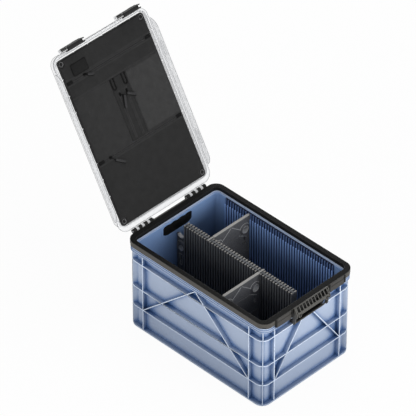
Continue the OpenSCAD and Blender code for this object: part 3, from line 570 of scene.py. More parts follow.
board = lidBox("organiser_board")
boardFace = board.low.z
clothLook = {"cell": 4.5, "thick": 0.9, "weight": 0.25, "slack": 0.012, "frames": 24, "quality": 6,
             "bend": 0.8, "pull": 25, "cap": 1.7, "hem": 6.0, "hemRise": 0.35, "seam": 1.6, "side": 2.2,
             "screwIn": 13.0, "screwRoom": 9.6}
screwSpots = [(x, y) for x in (-board.high.x + clothLook["screwIn"], board.high.x - clothLook["screwIn"])
              for y in (board.low.y + clothLook["screwIn"], board.high.y - clothLook["screwIn"])]

# Each sheet: its finish, its hemmed edges, whether its front edge is an open mouth, and how far it stands off
sheets = {
    "top_panel": (darkCloth, ("rear",), False, 1.9),
    "top_pocket": (darkCloth, ("front", "rear"), False, 1.9),
    "left_pocket": (greyCloth, ("front", "rear"), True, 1.9),
    "right_pocket": (paleCloth, ("front", "rear"), True, 1.9),
    "centre_strip": (darkCloth, (), False, 1.2),
    "bottom_pocket": (darkCloth, ("front",), False, 1.9),
}


class Cloth:
    def __init__(self, node, mouth, outward):
        self.node = node
        self.mouth = mouth
        self.box = lidBox(node)
        self.flat = boardFace - outward
        low = self.box.low
        size = self.box.size
        self.across = max(8, round(size.x / clothLook["cell"]))
        self.along = max(6, round(size.y / clothLook["cell"]))
        self.rows = [[Vector((low.x + size.x * i / self.across, low.y + size.y * j / self.along, self.flat))
                      for i in range(self.across + 1)] for j in range(self.along + 1)]
        self.settle()

    def held(self, i, j):
        return i in (0, self.across) or j == self.along or (j == 0 and not self.mouth)

    # The faces' order steers the simulation, so the grid is laid row by row here
    def mesh(self):
        bm = bmesh.new()
        verts = [[bm.verts.new(point) for point in row] for row in self.rows]
        for j in range(self.along):
            for i in range(self.across):
                bm.faces.new((verts[j][i], verts[j + 1][i], verts[j + 1][i + 1], verts[j][i + 1]))
        return bm

    # The cloth's waves, settled by the simulation and capped, because the real cloth lies nearly flat
    def settle(self):
        bm = self.mesh()
        bmesh.ops.scale(bm, verts=bm.verts, vec=(mm, mm, mm))
        bm.transform(lidOpen)
        trial = bpy.data.meshes.new("clothTrial")
        bm.to_mesh(trial)
        bm.free()
        sheet = bpy.data.objects.new("clothTrial", trial)
        scene.collection.objects.link(sheet)
        pins = sheet.vertex_groups.new(name="held")
        spots = [(i, j) for j in range(self.along + 1) for i in range(self.across + 1)]
        pins.add([k for k, spot in enumerate(spots) if self.held(*spot)], 1.0, "REPLACE")
        cloth = sheet.modifiers.new("cloth", "CLOTH")
        cloth.settings.quality = clothLook["quality"]
        cloth.settings.mass = clothLook["weight"] * (clothLook["cell"] * mm) ** 2
        cloth.settings.vertex_group_mass = "held"
        cloth.settings.shrink_min = -clothLook["slack"]
        cloth.settings.bending_stiffness = clothLook["bend"]
        cloth.settings.tension_stiffness = clothLook["pull"]
        cloth.settings.compression_stiffness = clothLook["pull"]
        cloth.point_cache.frame_end = clothLook["frames"]
        for frameNumber in range(1, clothLook["frames"] + 1):
            scene.frame_set(frameNumber)
        seen = sheet.evaluated_get(bpy.context.evaluated_depsgraph_get())
        back = Matrix.Scale(1 / mm, 4) @ lidOpen.inverted()
        places = [back @ v.co for v in seen.data.vertices]
        scene.frame_set(1)
        bpy.data.objects.remove(sheet)
        bpy.data.meshes.remove(trial)
        rise = [self.flat - p.z for p in places]
        most = max(max(rise), -min(rise), 0.01)
        for (i, j), point, lift in zip(spots, places, rise):
            lift = abs(lift) / most * clothLook["cap"] - 0.25 * clothLook["cap"]
            self.rows[j][i] = Vector((point.x, point.y, self.flat - (0 if self.held(i, j) else lift)))
        print("settled", self.node, round(most, 2), "mm before the cap")

    def height(self, x, y):
        u = min(max((x - self.box.low.x) / self.box.size.x, 0), 1) * self.across
        v = min(max((y - self.box.low.y) / self.box.size.y, 0), 1) * self.along
        i = min(int(u), self.across - 1)
        j = min(int(v), self.along - 1)
        a = self.rows[j][i].z + (self.rows[j][i + 1].z - self.rows[j][i].z) * (u - i)
        b = self.rows[j + 1][i].z + (self.rows[j + 1][i + 1].z - self.rows[j + 1][i].z) * (u - i)
        return a + (b - a) * (v - j)

    # The cloth stops short of the corner fasteners
    def cutCorners(self, bm):
        gone = []
        for v in bm.verts:
            for x, y in screwSpots:
                outside = (v.co.x - x) * x > 0 and (v.co.y - y) * (y - board.mid.y) > 0
                if outside or math.hypot(v.co.x - x, v.co.y - y) < clothLook["screwRoom"]:
                    gone.append(v)
        bmesh.ops.delete(bm, geom=gone, context="VERTS")
        return bool(gone)

    # A folded edge along X, following the cloth's own height
    def hem(self, bm, y, side):
        profile = [(0.0, 0.0), (0.1, -0.7), (0.35, -1.0), (0.75, -0.8), (1.0, -0.2), (1.0, 0.3), (0.0, 0.4)]
        rings = []
        for i in range(self.across + 1):
            x = self.box.low.x + self.box.size.x * i / self.across
            spots = [(y + side * out * clothLook["hem"], up * clothLook["hemRise"]) for out, up in profile]
            rings.append([(x, edge, self.height(x, edge) + rise) for edge, rise in spots])
        loft(bm, rings)


def level(z):
    return lambda x, y: z


# A row of stitches; height gives the cloth's height under a point
def stitchLine(bm, start, end, height, pitch=3.3, length=2.3):
    start = Vector(start)
    end = Vector(end)
    reach = (end - start).length
    turn = math.degrees(math.atan2(end.y - start.y, end.x - start.x))
    stitch = bmesh.new()
    bmesh.ops.create_icosphere(stitch, subdivisions=1, radius=0.5)
    bmesh.ops.scale(stitch, verts=stitch.verts, vec=(length, 0.65, 0.5))
    places = []
    for i in range(int(reach / pitch)):
        spot = start.lerp(end, (i + 0.5) * pitch / reach)
        places.append(at(spot.x, spot.y, height(spot.x, spot.y) - 0.15, turn))
    stamp(bm, stitch, places)


def stitchRound(bm, outline, height, pitch=3.3, length=2.3):
    for start, end in zip(outline, outline[1:] + outline[:1]):
        stitchLine(bm, start, end, height, pitch, length)


def makeCloth(node, material, hemmed, mouth, outward):
    cloth = Cloth(node, mouth, outward)
    low = cloth.box.low
    high = cloth.box.high
    hems = [{"front": (low.y, 1), "rear": (high.y, -1)}[name] for name in hemmed]
    bm = cloth.mesh()
    notched = cloth.cutCorners(bm)
    piece = onLid(bm, node + "_cloth", material, slotOf[node], [node], 60)
    body = piece.modifiers.new("thickness", "SOLIDIFY")
    body.thickness = clothLook["thick"] * mm
    body.offset = -1
    if hems:
        bm = bmesh.new()
        for y, side in hems:
            cloth.hem(bm, y, side)
        bmesh.ops.recalc_face_normals(bm, faces=bm.faces)
        onLid(bm, node + "_hem", hemCloth, slotOf[node], (), 60)
    bm = bmesh.new()
    inset = 1 + (clothLook["screwIn"] + 2 if notched else 0)
    for y, side in hems:
        for step in (clothLook["seam"], clothLook["hem"] - clothLook["seam"]):
            line = y + side * step
            stitchLine(bm, (low.x + inset, line), (high.x - inset, line),
                       lambda px, py: cloth.height(px, py) - clothLook["hemRise"])
    for x in (low.x + clothLook["side"], high.x - clothLook["side"]):
        stitchLine(bm, (x, low.y + inset), (x, high.y - inset), cloth.height)
    onLid(bm, node + "_stitches", thread, slotOf[node])


for node, facts in sheets.items():
    makeCloth(node, *facts)
print("cloth laid")


# A band folded round the board's edge: its flat width in metres, and its section in millimetres
bindingLook = {"flat": 0.0102, "wide": 4.6, "overlap": 0.7, "soft": 1.4, "inset": 1.7, "corner": 10.3,
               "seam": 1.0}


def makeBinding():
    look = bindingLook

    def edge(inset, corner):
        return roundedRect(board.size.x - 2 * inset, board.size.y - 2 * inset, corner, 7,
                           (board.mid.x, board.mid.y))

    section = roundedRect(look["wide"], board.size.z + 2 * look["overlap"], look["soft"], 3)
    bm = sweepRound(edge(look["inset"], look["corner"]), board.mid.z, section)
    binding = onLid(bm, "board_binding", tape, "dark_cloth", (), 60)
    bm = bmesh.new()
    seam = edge(look["inset"] + look["seam"], look["corner"] - look["seam"])
    stitchRound(bm, seam, level(board.low.z - look["overlap"]))
    seams = onLid(bm, "board_binding_stitches", thread, "dark_cloth")


makeBinding()

patchLook = {"corner": 3.0, "field": 0.7, "border": (2.4, 1.4), "borderLift": 0.4, "seam": 4.0,
             "seamLift": 0.25}


def makePatch():
    look = patchLook
    box = lidBox("blank_patch")

    def outline(inset, corner, steps=5):
        return roundedRect(box.size.x - 2 * inset, box.size.y - 2 * inset, corner, steps,
                           (box.mid.x, box.mid.y))

    thick = box.size.z * look["field"]
    bm = bmesh.new()
    stamp(bm, softPlate(outline(0, look["corner"]), thick, 0.25), [at(0, 0, box.high.z - thick)])
    onLid(bm, "patch_field", patchCloth, "dark_cloth", ["blank_patch"])
    wide, tall = look["border"]
    bm = sweepRound(outline(wide / 2, wide), box.low.z + look["borderLift"], oval(wide, tall))
    onLid(bm, "patch_border", elastic, "dark_cloth")
    bm = bmesh.new()
    stitchRound(bm, outline(look["seam"], 1.5, 3), level(box.low.z + look["seamLift"]))
    onLid(bm, "patch_stitches", thread, "dark_cloth")


makePatch()

loopLook = {"wide": 16.0, "band": 3.8, "edge": 1.7, "foot": (4.4, 5.0, 0.6), "seams": (2.4, 5.6)}


def makePenLoops():
    look = loopLook
    box = lidBox("pen_loops")
    radius = look["wide"] / 2 - look["edge"]
    bm = bmesh.new()
    ends = bmesh.new()
    for x in (box.low.x + look["wide"] / 2, box.high.x - look["wide"] / 2):
        bend = arc((x, box.high.y - look["wide"] / 2), radius, 180, 0, 14)
        path = [(x - radius, box.low.y + 0.5)] + bend + [(x + radius, box.low.y + 0.5)]
        band = roundedRect(look["band"], box.size.z + 0.3, 0.7, 3)
        stamp(bm, sweep([(px, py, box.mid.z) for px, py in path], band))
        for side in (x - radius, x + radius):
            stamp(bm, softBlock(look["foot"], 0.2), [at(side, box.low.y + 4, box.low.z + 0.1)])
            for row in look["seams"]:
                y = box.low.y + row
                stitchLine(ends, (side - 2, y), (side + 2, y), level(box.low.z - 0.15), 1.4, 1.1)
    onLid(bm, "pen_loop_bands", elastic, "dark_cloth", ["pen_loops"])
    onLid(ends, "pen_loop_stitches", thread, "dark_cloth")


makePenLoops()

# Profiles out from each rivet's axis and up from the board's face, and the cross slot in its head
fastenerLook = {
    "rivet": [(0, -1.5), (2.4, -1.5), (3, -1.2), (3.2, -0.3), (6.2, -0.3), (6.5, -0.6), (6.8, -1.7),
              (7.2, -2), (8.3, -2), (8.8, -1.6), (9, 0), (3, 0), (3, 8.4), (0, 8.4)],
    "ring": [(6.5, -1.2), (6.9, -2.1), (7.4, -2.4), (8.0, -2.1), (8.3, -1.2)],
    "cross": (4.2, 0.9, 0.7), "crossUp": -1.55,
}


def makeFasteners():
    look = fastenerLook
    places = [at(x, y, boardFace) for x, y in screwSpots]
    bm = bmesh.new()
    stamp(bm, spun(look["rivet"], 32, False), places)
    for turn in (0, 90):
        stamp(bm, softBlock(look["cross"], 0.2), [spot @ at(0, 0, look["crossUp"], turn) for spot in places])
    onLid(bm, "fastener_rivets", fastenerBlack, "black_screws", ["board_fasteners"])
    bm = bmesh.new()
    # Painted highlight: a light grey ring round each rivet
    stamp(bm, spun(look["ring"], 32), places)
    onLid(bm, "fastener_glint_rings", fastenerGlintRing, "black_screws")


makeFasteners()
print("organiser furnished")


# Zips: two tapes, two staggered rows of teeth, and a slider on its own body

zipLook = {"pitch": 1.7, "tooth": (0.95, 2.3, 1.2), "toothUp": 0.75, "stagger": 0.7, "gap": 1.5,
           "tapeThick": 0.8, "tapeUp": 0.95, "edge": (0.9, 1.2), "edgeIn": 0.35, "edgeUp": 0.85, "end": 0.5,
           "drop": 0.6}


def zipOnPlan(teeth, tapes, start, end, low, width):
    look = zipLook
    start = Vector((*start, 0))
    end = Vector((*end, 0))
    run = end - start
    turn = math.degrees(math.atan2(run.y, run.x))
    side = Vector((-run.y, run.x, 0)).normalized()
    places = []
    for i in range(int(run.length / look["pitch"])):
        spot = start.lerp(end, (i + 0.5) * look["pitch"] / run.length)
        spot += side * (look["stagger"] if i % 2 else -look["stagger"])
        places.append(at(spot.x, spot.y, low + look["toothUp"], turn))
    stamp(teeth, softBlock(look["tooth"], 0.2, 1), places)
    wide = (width - look["gap"]) / 2
    middle = (start + end) / 2
    for s in (-1, 1):
        spot = middle + side * s * (look["gap"] + wide) / 2
        stamp(tapes, softBlock((run.length, wide, look["tapeThick"]), 0.25),
              [at(spot.x, spot.y, low + look["tapeUp"], turn)])
        spot = middle + side * s * (look["gap"] / 2 + look["edgeIn"])
        stamp(tapes, softBlock((run.length, *look["edge"]), 0.3),
              [at(spot.x, spot.y, low + look["edgeUp"], turn)])


upperZip = lidBox("upper_zip")
lowerZip = lidBox("lower_zip")
centreZips = lidBox("centre_zips")
zipEnd = zipLook["end"]
halfTape = upperZip.size.y / 2

# The runs of each zip's node, from start to end, and how low they lie
zipRuns = {
    "upper_zip": ([((box.low.x + zipEnd, box.mid.y), (box.high.x - zipEnd, box.mid.y))
                   for box in [upperZip]], upperZip.low.z, upperZip.size.y),
    "lower_zip": ([((box.low.x + zipEnd, box.mid.y), (box.high.x - zipEnd, box.mid.y))
                   for box in [lowerZip]], lowerZip.low.z, lowerZip.size.y),
    "centre_zips": ([((x, centreZips.low.y + zipEnd), (x, centreZips.high.y - zipEnd))
                     for x in (centreZips.low.x + halfTape, centreZips.high.x - halfTape)],
                    centreZips.low.z - zipLook["drop"], upperZip.size.y),
}
for node, (runs, low, width) in zipRuns.items():
    teeth = bmesh.new()
    tapes = bmesh.new()
    for start, end in runs:
        zipOnPlan(teeth, tapes, start, end, low, width)
    onLid(tapes, node + "_tapes", tape, "zip_tape", [node])
    onLid(teeth, node + "_teeth", zipTeeth, "zip_tape", [node])

pullLook = {"wide": 8.0, "thick": 1.2, "cord": (3.4, 1.6), "ribs": 5, "rib": 1.6, "shadow": 3.0, "seat": 0.2,
            "centreIn": 5.0, "centreUp": 13.0}
# Each slider's place, its zip's turn, and from there the end of its cord and the end of its tab
sliders = {
    "upper_zip_slider": (board.low.x + 81.5, upperZip.mid.y, upperZip.low.z, 0, (9, 3), (33, 12)),
    "lower_zip_slider": (board.low.x + 55.5, lowerZip.mid.y, lowerZip.low.z, 0, (13, 13), (46, 37)),
    "centre_slider_left": (centreZips.low.x + pullLook["centreIn"], centreZips.low.y + pullLook["centreUp"],
                           centreZips.low.z, 90, (14, 8), (2, 49)),
    "centre_slider_right": (centreZips.high.x - pullLook["centreIn"], centreZips.low.y + pullLook["centreUp"],
                            centreZips.low.z, 90, (-4, 7), (28, 26)),
}


def makeSlider(node, x, y, low, turn, link, tip):
    look = pullLook
    z = low - look["seat"]
    base = at(x, y, z, turn)
    shield = arc((-2, 0), 4.4, 60, 300, 12) + [(5.6, -2.8), (6, -2), (6, 2), (5.6, 2.8)]
    bm = bmesh.new()
    stamp(bm, softPlate(shield, 1.2, 0.3), [base @ at(0, 0, -1.3)])
    stamp(bm, softPlate([(px * 0.85, py * 0.8) for px, py in shield], 1.0, 0.3), [base @ at(0, 0, -2.3)])
    bridge = [(-4, 0, -2.2), (-3.4, 0, -3.1), (-2, 0, -3.4), (2.4, 0, -3.4), (3.6, 0, -3.0), (4.2, 0, -2.2)]
    stamp(bm, sweep(bridge, roundedRect(2.4, 0.8, 0.3, 3), up=(0, 1, 0)), [base])
    toLink = at(x, y, z, math.degrees(math.atan2(link[1], link[0])))
    reach = math.hypot(*link)
    cord = [(0, 0, -3.1), (reach * 0.5, 1.0, -3.3), (reach + 3, 0, -3.1)]
    stamp(bm, sweep(cord, oval(*look["cord"], 8), up=(0, 1, 0)), [toLink])
    along = Vector(tip) - Vector(link)
    lean = at(x + link[0], y + link[1], z, math.degrees(math.atan2(along.y, along.x)))
    length = along.length
    wide = look["wide"]
    thick = look["thick"]
    tab = roundedRect(length, wide, wide * 0.4, 5, (length / 2, 0))
    # Painted shadow: a black copy of the tab, offset to its lower side
    stamp(bm, softPlate(tab, 1.0, 0.3), [lean @ at(0.6, look["shadow"], -3.4)])
    onLid(bm, node + "_metal", pullBlack, slotOf[node], [node], body=bodyOf[node])
    bm = bmesh.new()
    stamp(bm, softPlate(tab, thick, 0.35), [lean @ at(0, 0, -3.3 - thick)])
    for i in range(look["ribs"]):
        spot = 6 + (length - 10) * i / (look["ribs"] - 1)
        stamp(bm, softBlock((look["rib"], wide * 0.66, 0.6), 0.25), [lean @ at(spot, 0, -3.4 - thick)])
    onLid(bm, node + "_pull", pullGrey, slotOf[node], [node], body=bodyOf[node])


for node, facts in sliders.items():
    makeSlider(node, *facts)

tabLook = {"middle": 13.0, "base": (22, 11, 2.0), "baseThick": 0.8, "top": (21, 5.6, 1.2), "seam": (9, 4),
           "seamUp": 0.05, "pitch": 2.4, "stitch": 1.7}


def makeEndTabs():
    look = tabLook
    box = lidBox("zip_end_tabs")
    bm = bmesh.new()
    seams = bmesh.new()
    seam = (level(box.low.z + look["seamUp"]), look["pitch"], look["stitch"])
    wide, tall = look["seam"]
    for x in (look["middle"] - box.high.x, box.high.x - look["middle"]):
        for y in (upperZip.mid.y, lowerZip.mid.y):
            base = roundedRect(*look["base"], 4, (x, y))
            stamp(bm, softPlate(base, look["baseThick"], 0.25), [at(0, 0, box.low.z)])
            stamp(bm, softBlock(look["top"], 0.2), [at(x, y, box.low.z + 1.2)])
            corners = [(x - wide, y - tall), (x + wide, y - tall), (x + wide, y + tall), (x - wide, y + tall)]
            stitchRound(seams, corners, *seam)
            stitchLine(seams, corners[0], corners[2], *seam)
            stitchLine(seams, corners[1], corners[3], *seam)
    onLid(bm, "end_tab_tape", elastic, "dark_cloth", ["zip_end_tabs"])
    onLid(seams, "end_tab_stitches", thread, "dark_cloth")


makeEndTabs()
print("zips made")


# Latches: a grooved barrel, a ribbed plate, the hook's shelf behind it and an arched finger lip below

latchPin = lidBox("latch_pin_left").mid
latchOpen = lidOpen @ turnAbout(Vector((0, latchPin.y * mm, latchPin.z * mm)), latchSwing)
latchLook = {
    "wide": 81.0, "face": 5.5, "plate": 3.5, "deep": 9.5, "drop": 35.0, "hook": 29.0, "end": 9.0,
    "rib": (1.3, 2.0), "ribsAt": (-13, -17.5, -22), "ribShort": 22.0, "post": (2.4, 1.5, 19), "postIn": 5.0,
    "lip": 29.0, "lipOut": 4.4, "lipTilt": 23.0, "lipThick": 2.4,
    "barrel": 5.8, "groove": 0.7, "bore": 2.3, "rings": 6,
}


# Carries a profile in (out, up) along X, standing on the latch's pin
def alongX(profile, x0, x1, soft=0.5):
    bm = softPlate(profile, x1 - x0, soft)
    bm.transform(Matrix(((0, 0, 1, x0), (1, 0, 0, latchPin.y), (0, 1, 0, latchPin.z), (0, 0, 0, 1))))
    return bm


def latchBarrel():
    look = latchLook
    half = look["wide"] / 2
    r = look["barrel"]
    low = r - look["groove"]
    profile = [(look["bore"], -half)]
    for i in range(look["rings"]):
        start = -half + i * look["wide"] / look["rings"]
        end = start + look["wide"] / look["rings"]
        profile += [(low, start), (low + 0.1, start + 0.4), (r, start + 1.2), (r, end - 1.2),
                    (low + 0.1, end - 0.4)]
    return spun(profile + [(low, half), (look["bore"], half)], 28)


def makeLatch(node):
    look = latchLook
    middle = lidBox(node).mid.x
    half = look["wide"] / 2
    face = -look["face"]
    back = face + look["plate"]
    low = -look["drop"]
    hook = -look["hook"]
    deep = look["deep"]
    front = latchPin.y + face - 0.1
    shelf = [(back, -2), (back, hook), (deep, hook), (deep, hook - 3), (deep - 3.5, low), (face + 1, low),
             (face, low + 5), (face, -2)]
    plate = [(back, -2), (back, low + 1.5), (back - 1, low), (face + 1, low), (face, low + 5), (face, -2)]
    bar = [(deep - 4.5, hook), (deep, hook), (deep, hook - 3), (deep - 3.5, low), (deep - 4.5, low)]
    bm = bmesh.new()
    stamp(bm, alongX(shelf, middle - half + look["end"], middle + half - look["end"]))
    for s in (-1, 1):
        ends = sorted((middle + s * half, middle + s * (half - look["end"] - 0.3)))
        stamp(bm, alongX(plate, *ends))
        stamp(bm, alongX(bar, *ends))
        stamp(bm, softBlock(look["post"]), [at(middle + s * (half - look["postIn"]), front, latchPin.z - 17)])
    for z in look["ribsAt"]:
        rib = softBlock((look["wide"] - look["ribShort"], *look["rib"]))
        stamp(bm, rib, [at(middle, front, latchPin.z + z)])
    place(bm, node + "_plate", bodyOf[node], latchBlack, slotOf[node], [node], 40, latchOpen)
    # The finger lip and barrel take the grey painted highlight
    lip = look["lip"]
    arch = [(-lip + 2 * lip * i / 20, -1 - look["lipOut"] * math.sin(math.pi * i / 20) ** 0.6)
            for i in range(21)]
    tilt = at(middle, latchPin.y + face + 1, latchPin.z + low + 0.2, look["lipTilt"], "X")
    bm = bmesh.new()
    stamp(bm, softPlate([(-lip, 1)] + arch + [(lip, 1)], look["lipThick"], 0.6), [tilt])
    stamp(bm, latchBarrel(), [at(middle, latchPin.y, latchPin.z, 90, "Y")])
    place(bm, node + "_barrel", bodyOf[node], latchHighlightGrey, slotOf[node], [node], 40, latchOpen)


for node in ("latch_left", "latch_right"):
    makeLatch(node)
print("latches made")


# Lid: moulded rings on the skirts, lines on its edges and roof, and the clips that hold the board; in the
# edges each row is a rectangle's width, front, rear, corner radius and height

lidLook = {
    "skirtIn": 206.9, "skirtOut": 208.6, "skirt": (-263.0, 265.0, 324.4, 40.0), "sweep": (206, 270, 334),
    "front": 313.0, "seat": 344.3, "ring": (52.0, 9.0, 4.4), "ringDrop": 9.5, "ringsAt": (467, 155),
    "roof": (370, 560, 22), "seatLine": (398.5, 583, 30), "seatRise": 3.2, "seatShift": 2.0,
    "edges": [(407, -305.5, 306, 32, 347.3), (407, -305.5, 306, 32, 345.1), (396, -301, 291, 28, 369.1),
              (390, -298, 288, 25, 345.1), (396, -301, 291, 28, 347.6)],
    "clip": (3.6, 5.6, 0.8), "clipDrop": 1.2, "clipOver": 0.2,
    "sideClips": (137, 195, 251, 316, 373, 430, 487, 544), "frontClips": (-112, -53, 8, 74, 131),
}


# The free edge of a skirt, in Y and Z, with its two swept ends
def skirtEdge():
    front, rear, low, bend = lidLook["skirt"]
    start, flat, end = lidLook["sweep"]
    return (arc((front + bend, low + bend), bend, start, flat, 8)
            + arc((rear - bend, low + bend), bend, flat, end, 8))


def makeLidBeads():
    look = lidLook
    long, tall, corner = look["ring"]
    bm = bmesh.new()
    for s in (-1, 1):
        for back in look["ringsAt"]:
            outline = roundedRect(long, tall, corner, 6,
                                  (look["front"] - back, look["seat"] - look["ringDrop"]))
            path = [(s * look["skirtIn"], y, z) for y, z in outline]
            stamp(bm, sweep(path, oval(1.3, 1.3, 6), True, (s, 0, 0)))
    roof = roundedRect(*look["roof"], 8, (0, board.mid.y))
    stamp(bm, sweepRound(roof, lidBox("lid_shell").high.z, oval(3.0, 1.2, 8)))
    seat = roundedRect(*look["seatLine"], 9, (0, board.mid.y - look["seatShift"]))
    stamp(bm, sweepRound(seat, look["seat"] + look["seatRise"], oval(1.2, 1.0, 6)))
    onLid(bm, "lid_beads", bead, slotOf["lid_shell"])


def makeLidEdges():
    bm = bmesh.new()
    for wide, front, rear, r, z in lidLook["edges"]:
        outline = roundedRect(wide, rear - front, r, 9, (0, (front + rear) / 2))
        stamp(bm, sweepRound(outline, z, oval(1.3, 1.3, 6)))
    for s in (-1, 1):
        path = [(s * lidLook["skirtOut"], y, z) for y, z in skirtEdge()]
        stamp(bm, sweep(path, oval(1.7, 1.7, 6), True, (s, 0, 0)))
    onLid(bm, "lid_edges", edgeClear, slotOf["lid_shell"])


def makeBoardClips():
    look = lidLook
    long, wide, thick = look["clip"]
    z = board.low.z - thick / 2 - look["clipDrop"]
    out = wide / 2 - look["clipOver"]
    bm = bmesh.new()
    for s in (-1, 1):
        for back in look["sideClips"]:
            spot = at(s * (board.high.x + out), look["front"] - back, z)
            stamp(bm, softBlock((wide, long, thick), 0.4), [spot])
    for x in look["frontClips"]:
        stamp(bm, softBlock((long, wide, thick), 0.4), [at(x, board.low.y - out, z)])
    onLid(bm, "board_clips", clear, slotOf["lid_shell"])


makeLidBeads()
makeLidEdges()
makeBoardClips()
print("lid furnished")


# Dividers: lips on the finger rings, raised arches and a beaded scoop, in millimetres at rest

def ringLip(inner, outer, rise):
    mid = (inner + outer) / 2
    side = [(inner, rise), (inner + 0.4, rise + 0.7), (mid, rise + 1.1), (outer - 0.4, rise + 0.7),
            (outer, rise)]
    return spun([(r, -z) for r, z in side] + side[::-1], 36)


# Lines are (x, z) from the divider's middle and its top edge
crossLook = {
    "core": 3.6, "middle": 91.15, "lip": 4.3, "spread": 60.0, "ringDrop": 45.0, "ring": 13.0, "bow": 21.5,
    "holeDrop": 55.0, "hole": 4.5, "neck": (3.4, 5.5, 22.0),
    "lines": [[(2, -7), (42, -39)], [(36, -60), (41, -63), (68, -79)]],
}


def makeCrossDetail(node):
    look = crossLook
    half = look["core"] / 2
    box = restBox(node)
    y = box.mid.y
    middle = look["middle"] if box.mid.x > 0 else -look["middle"]
    top = box.high.z - look["lip"]
    ringZ = top - look["ringDrop"]
    holeZ = ringZ - look["holeDrop"]
    ring = look["ring"]
    hole = look["hole"]
    apart, low, tall = look["neck"]
    lips = bmesh.new()
    arches = bmesh.new()
    for x in (middle - look["spread"], middle + look["spread"]):
        ringAt = at(x, y, ringZ, 90, "X")
        stamp(lips, ringLip(ring - 0.6, ring + 3.8, half + 4.0), [ringAt])
        stamp(lips, ringLip(hole + 1.0, hole + 3.0, half + 1.2), [at(x, y, holeZ, 90, "X")])
        stamp(arches, ringLip(ring - 1.0, ring + 1.2, half + 4.6), [ringAt])
        for face in (-1, 1):
            depth = y + face * (half + 0.2)
            for side in (x - apart, x + apart):
                rise = [(side, depth, holeZ + low), (side, depth, holeZ + low + tall)]
                stamp(lips, sweep(rise, oval(1.8, 1.6, 8), up=(0, 1, 0)))
    for face in (-1, 1):
        for e in (-1, 1):
            lines = [[(e * px, top + pz) for px, pz in line] for line in look["lines"]]
            lines.append(arc((e * look["spread"], ringZ), look["bow"], 90 + e * 72, 90 - e * 58, 14))
            for line in lines:
                path = [(middle + px, y + face * half, pz) for px, pz in line]
                stamp(arches, sweep(path, oval(2.4, 2.2, 8), up=(0, 1, 0)))
    # The arches take the lighter painted highlight grey
    place(lips, node + "_lips", bodyOf[node], crossGrey, slotOf[node])
    place(arches, node + "_arches", bodyOf[node], paleHighlightGrey, slotOf[node])


for node in ("cross_divider_rear", "cross_divider_front"):
    makeCrossDetail(node)

# The long divider's end panels: a scoop on top, two arches below it, a dish and a tongue
wingLook = {
    "core": 4.0, "rack": 238.0, "top": 267.0, "scoop": (14.0, -157, -23), "scoopRise": 5.0,
    "arches": ((17.0, 2.4), (12.4, 1.6)), "archDrop": 30.0, "archLong": 34.0, "archBow": 12.0,
    "dish": (4.5, 10.4), "dishDrop": 54.0, "tongue": (5.4, 9.5), "tongueDrop": (80, 88, 118),
}


def makeWingDetail():
    look = wingLook
    core = look["core"]
    top = look["top"]
    node = "long_divider"
    lips = bmesh.new()
    arches = bmesh.new()
    for s in (-1, 1):
        y = s * (look["rack"] + restBox(node).high.y) / 2

        def beadOn(line, profile, closed=False):
            return sweep([(0, y + px, pz) for px, pz in line], profile, closed, (1, 0, 0))

        scoop = arc((0, top + look["scoopRise"]), *look["scoop"], 16)
        stamp(lips, beadOn(scoop, roundedRect(4.2, core + 9.0, 1.8, 4)))
        for r, wide in look["arches"]:
            foot = top - look["archDrop"] - look["archLong"]
            bow = arc((0, top - look["archDrop"] - look["archBow"]), r, 180, 0, 14)
            stamp(arches, beadOn([(-r, foot)] + bow + [(r, foot)], roundedRect(wide, core + 5.0, 0.7, 2)))
        inner, outer = look["dish"]
        side = [(0, 0.5), (inner, 0.5), (outer, core / 2 + 2.6)]
        dish = spun(side + [(r, -z) for r, z in side[::-1]], 28, False)
        stamp(lips, dish, [at(0, y, top - look["dishDrop"], 90, "Y")])
        narrow, wide = look["tongue"]
        high, waist, low = [top - drop for drop in look["tongueDrop"]]
        tongue = arc((0, low), narrow, 180, 360, 8)
        tongue += [(narrow, waist), (wide, high), (-wide, high), (-narrow, waist)]
        stamp(arches, beadOn(tongue, roundedRect(1.9, core + 4.6, 0.6, 2), True))
    # The scoop, dish, arches and tongue take lighter greys as painted highlight
    place(lips, "long_divider_lips", bodyOf[node], paleHighlightGrey, slotOf[node])
    place(arches, "long_divider_arches", bodyOf[node], archHighlightGrey, slotOf[node])


makeWingDetail()
print("dividers furnished")


# Handles: a top bar, slanted fins, a grip bar with a lobe round each screw, cheeks and the lip below

screwsAt = (-60, 60)
handleLook = {
    "half": 75.0, "rim": 306.0, "top": 344.0, "foot": 275.0, "out": 17.0, "thick": 6.0, "bar": (314.5, 327.0),
    "fins": 11, "zone": 136.0, "fin": 3.3, "cheek": 4.0, "gap": 1.4, "lobe": 7.6,
    "lip": (2.8, 5.0), "lipOut": 4.4, "lipRise": 20.0, "corner": 11.0,
}


# A side view in millimetres out from the rim and up, extruded along X and turned to its own end of the crate
def handleSlice(profile, x0, x1, soft=0.6):
    bm = softPlate([(-handleLook["rim"] - out, z) for out, z in profile], x1 - x0, soft)
    bm.transform(Matrix(((0, 0, 1, x0), (1, 0, 0, 0), (0, 1, 0, 0), (0, 0, 0, 1))))
    return bm


def handleLobe():
    r = handleLook["lobe"]
    return spun([(2.4, 0), (r - 1, 0), (r, 1), (r, 5), (r - 1, 6), (3.6, 6), (3.6, 3), (2.4, 3)], 28)


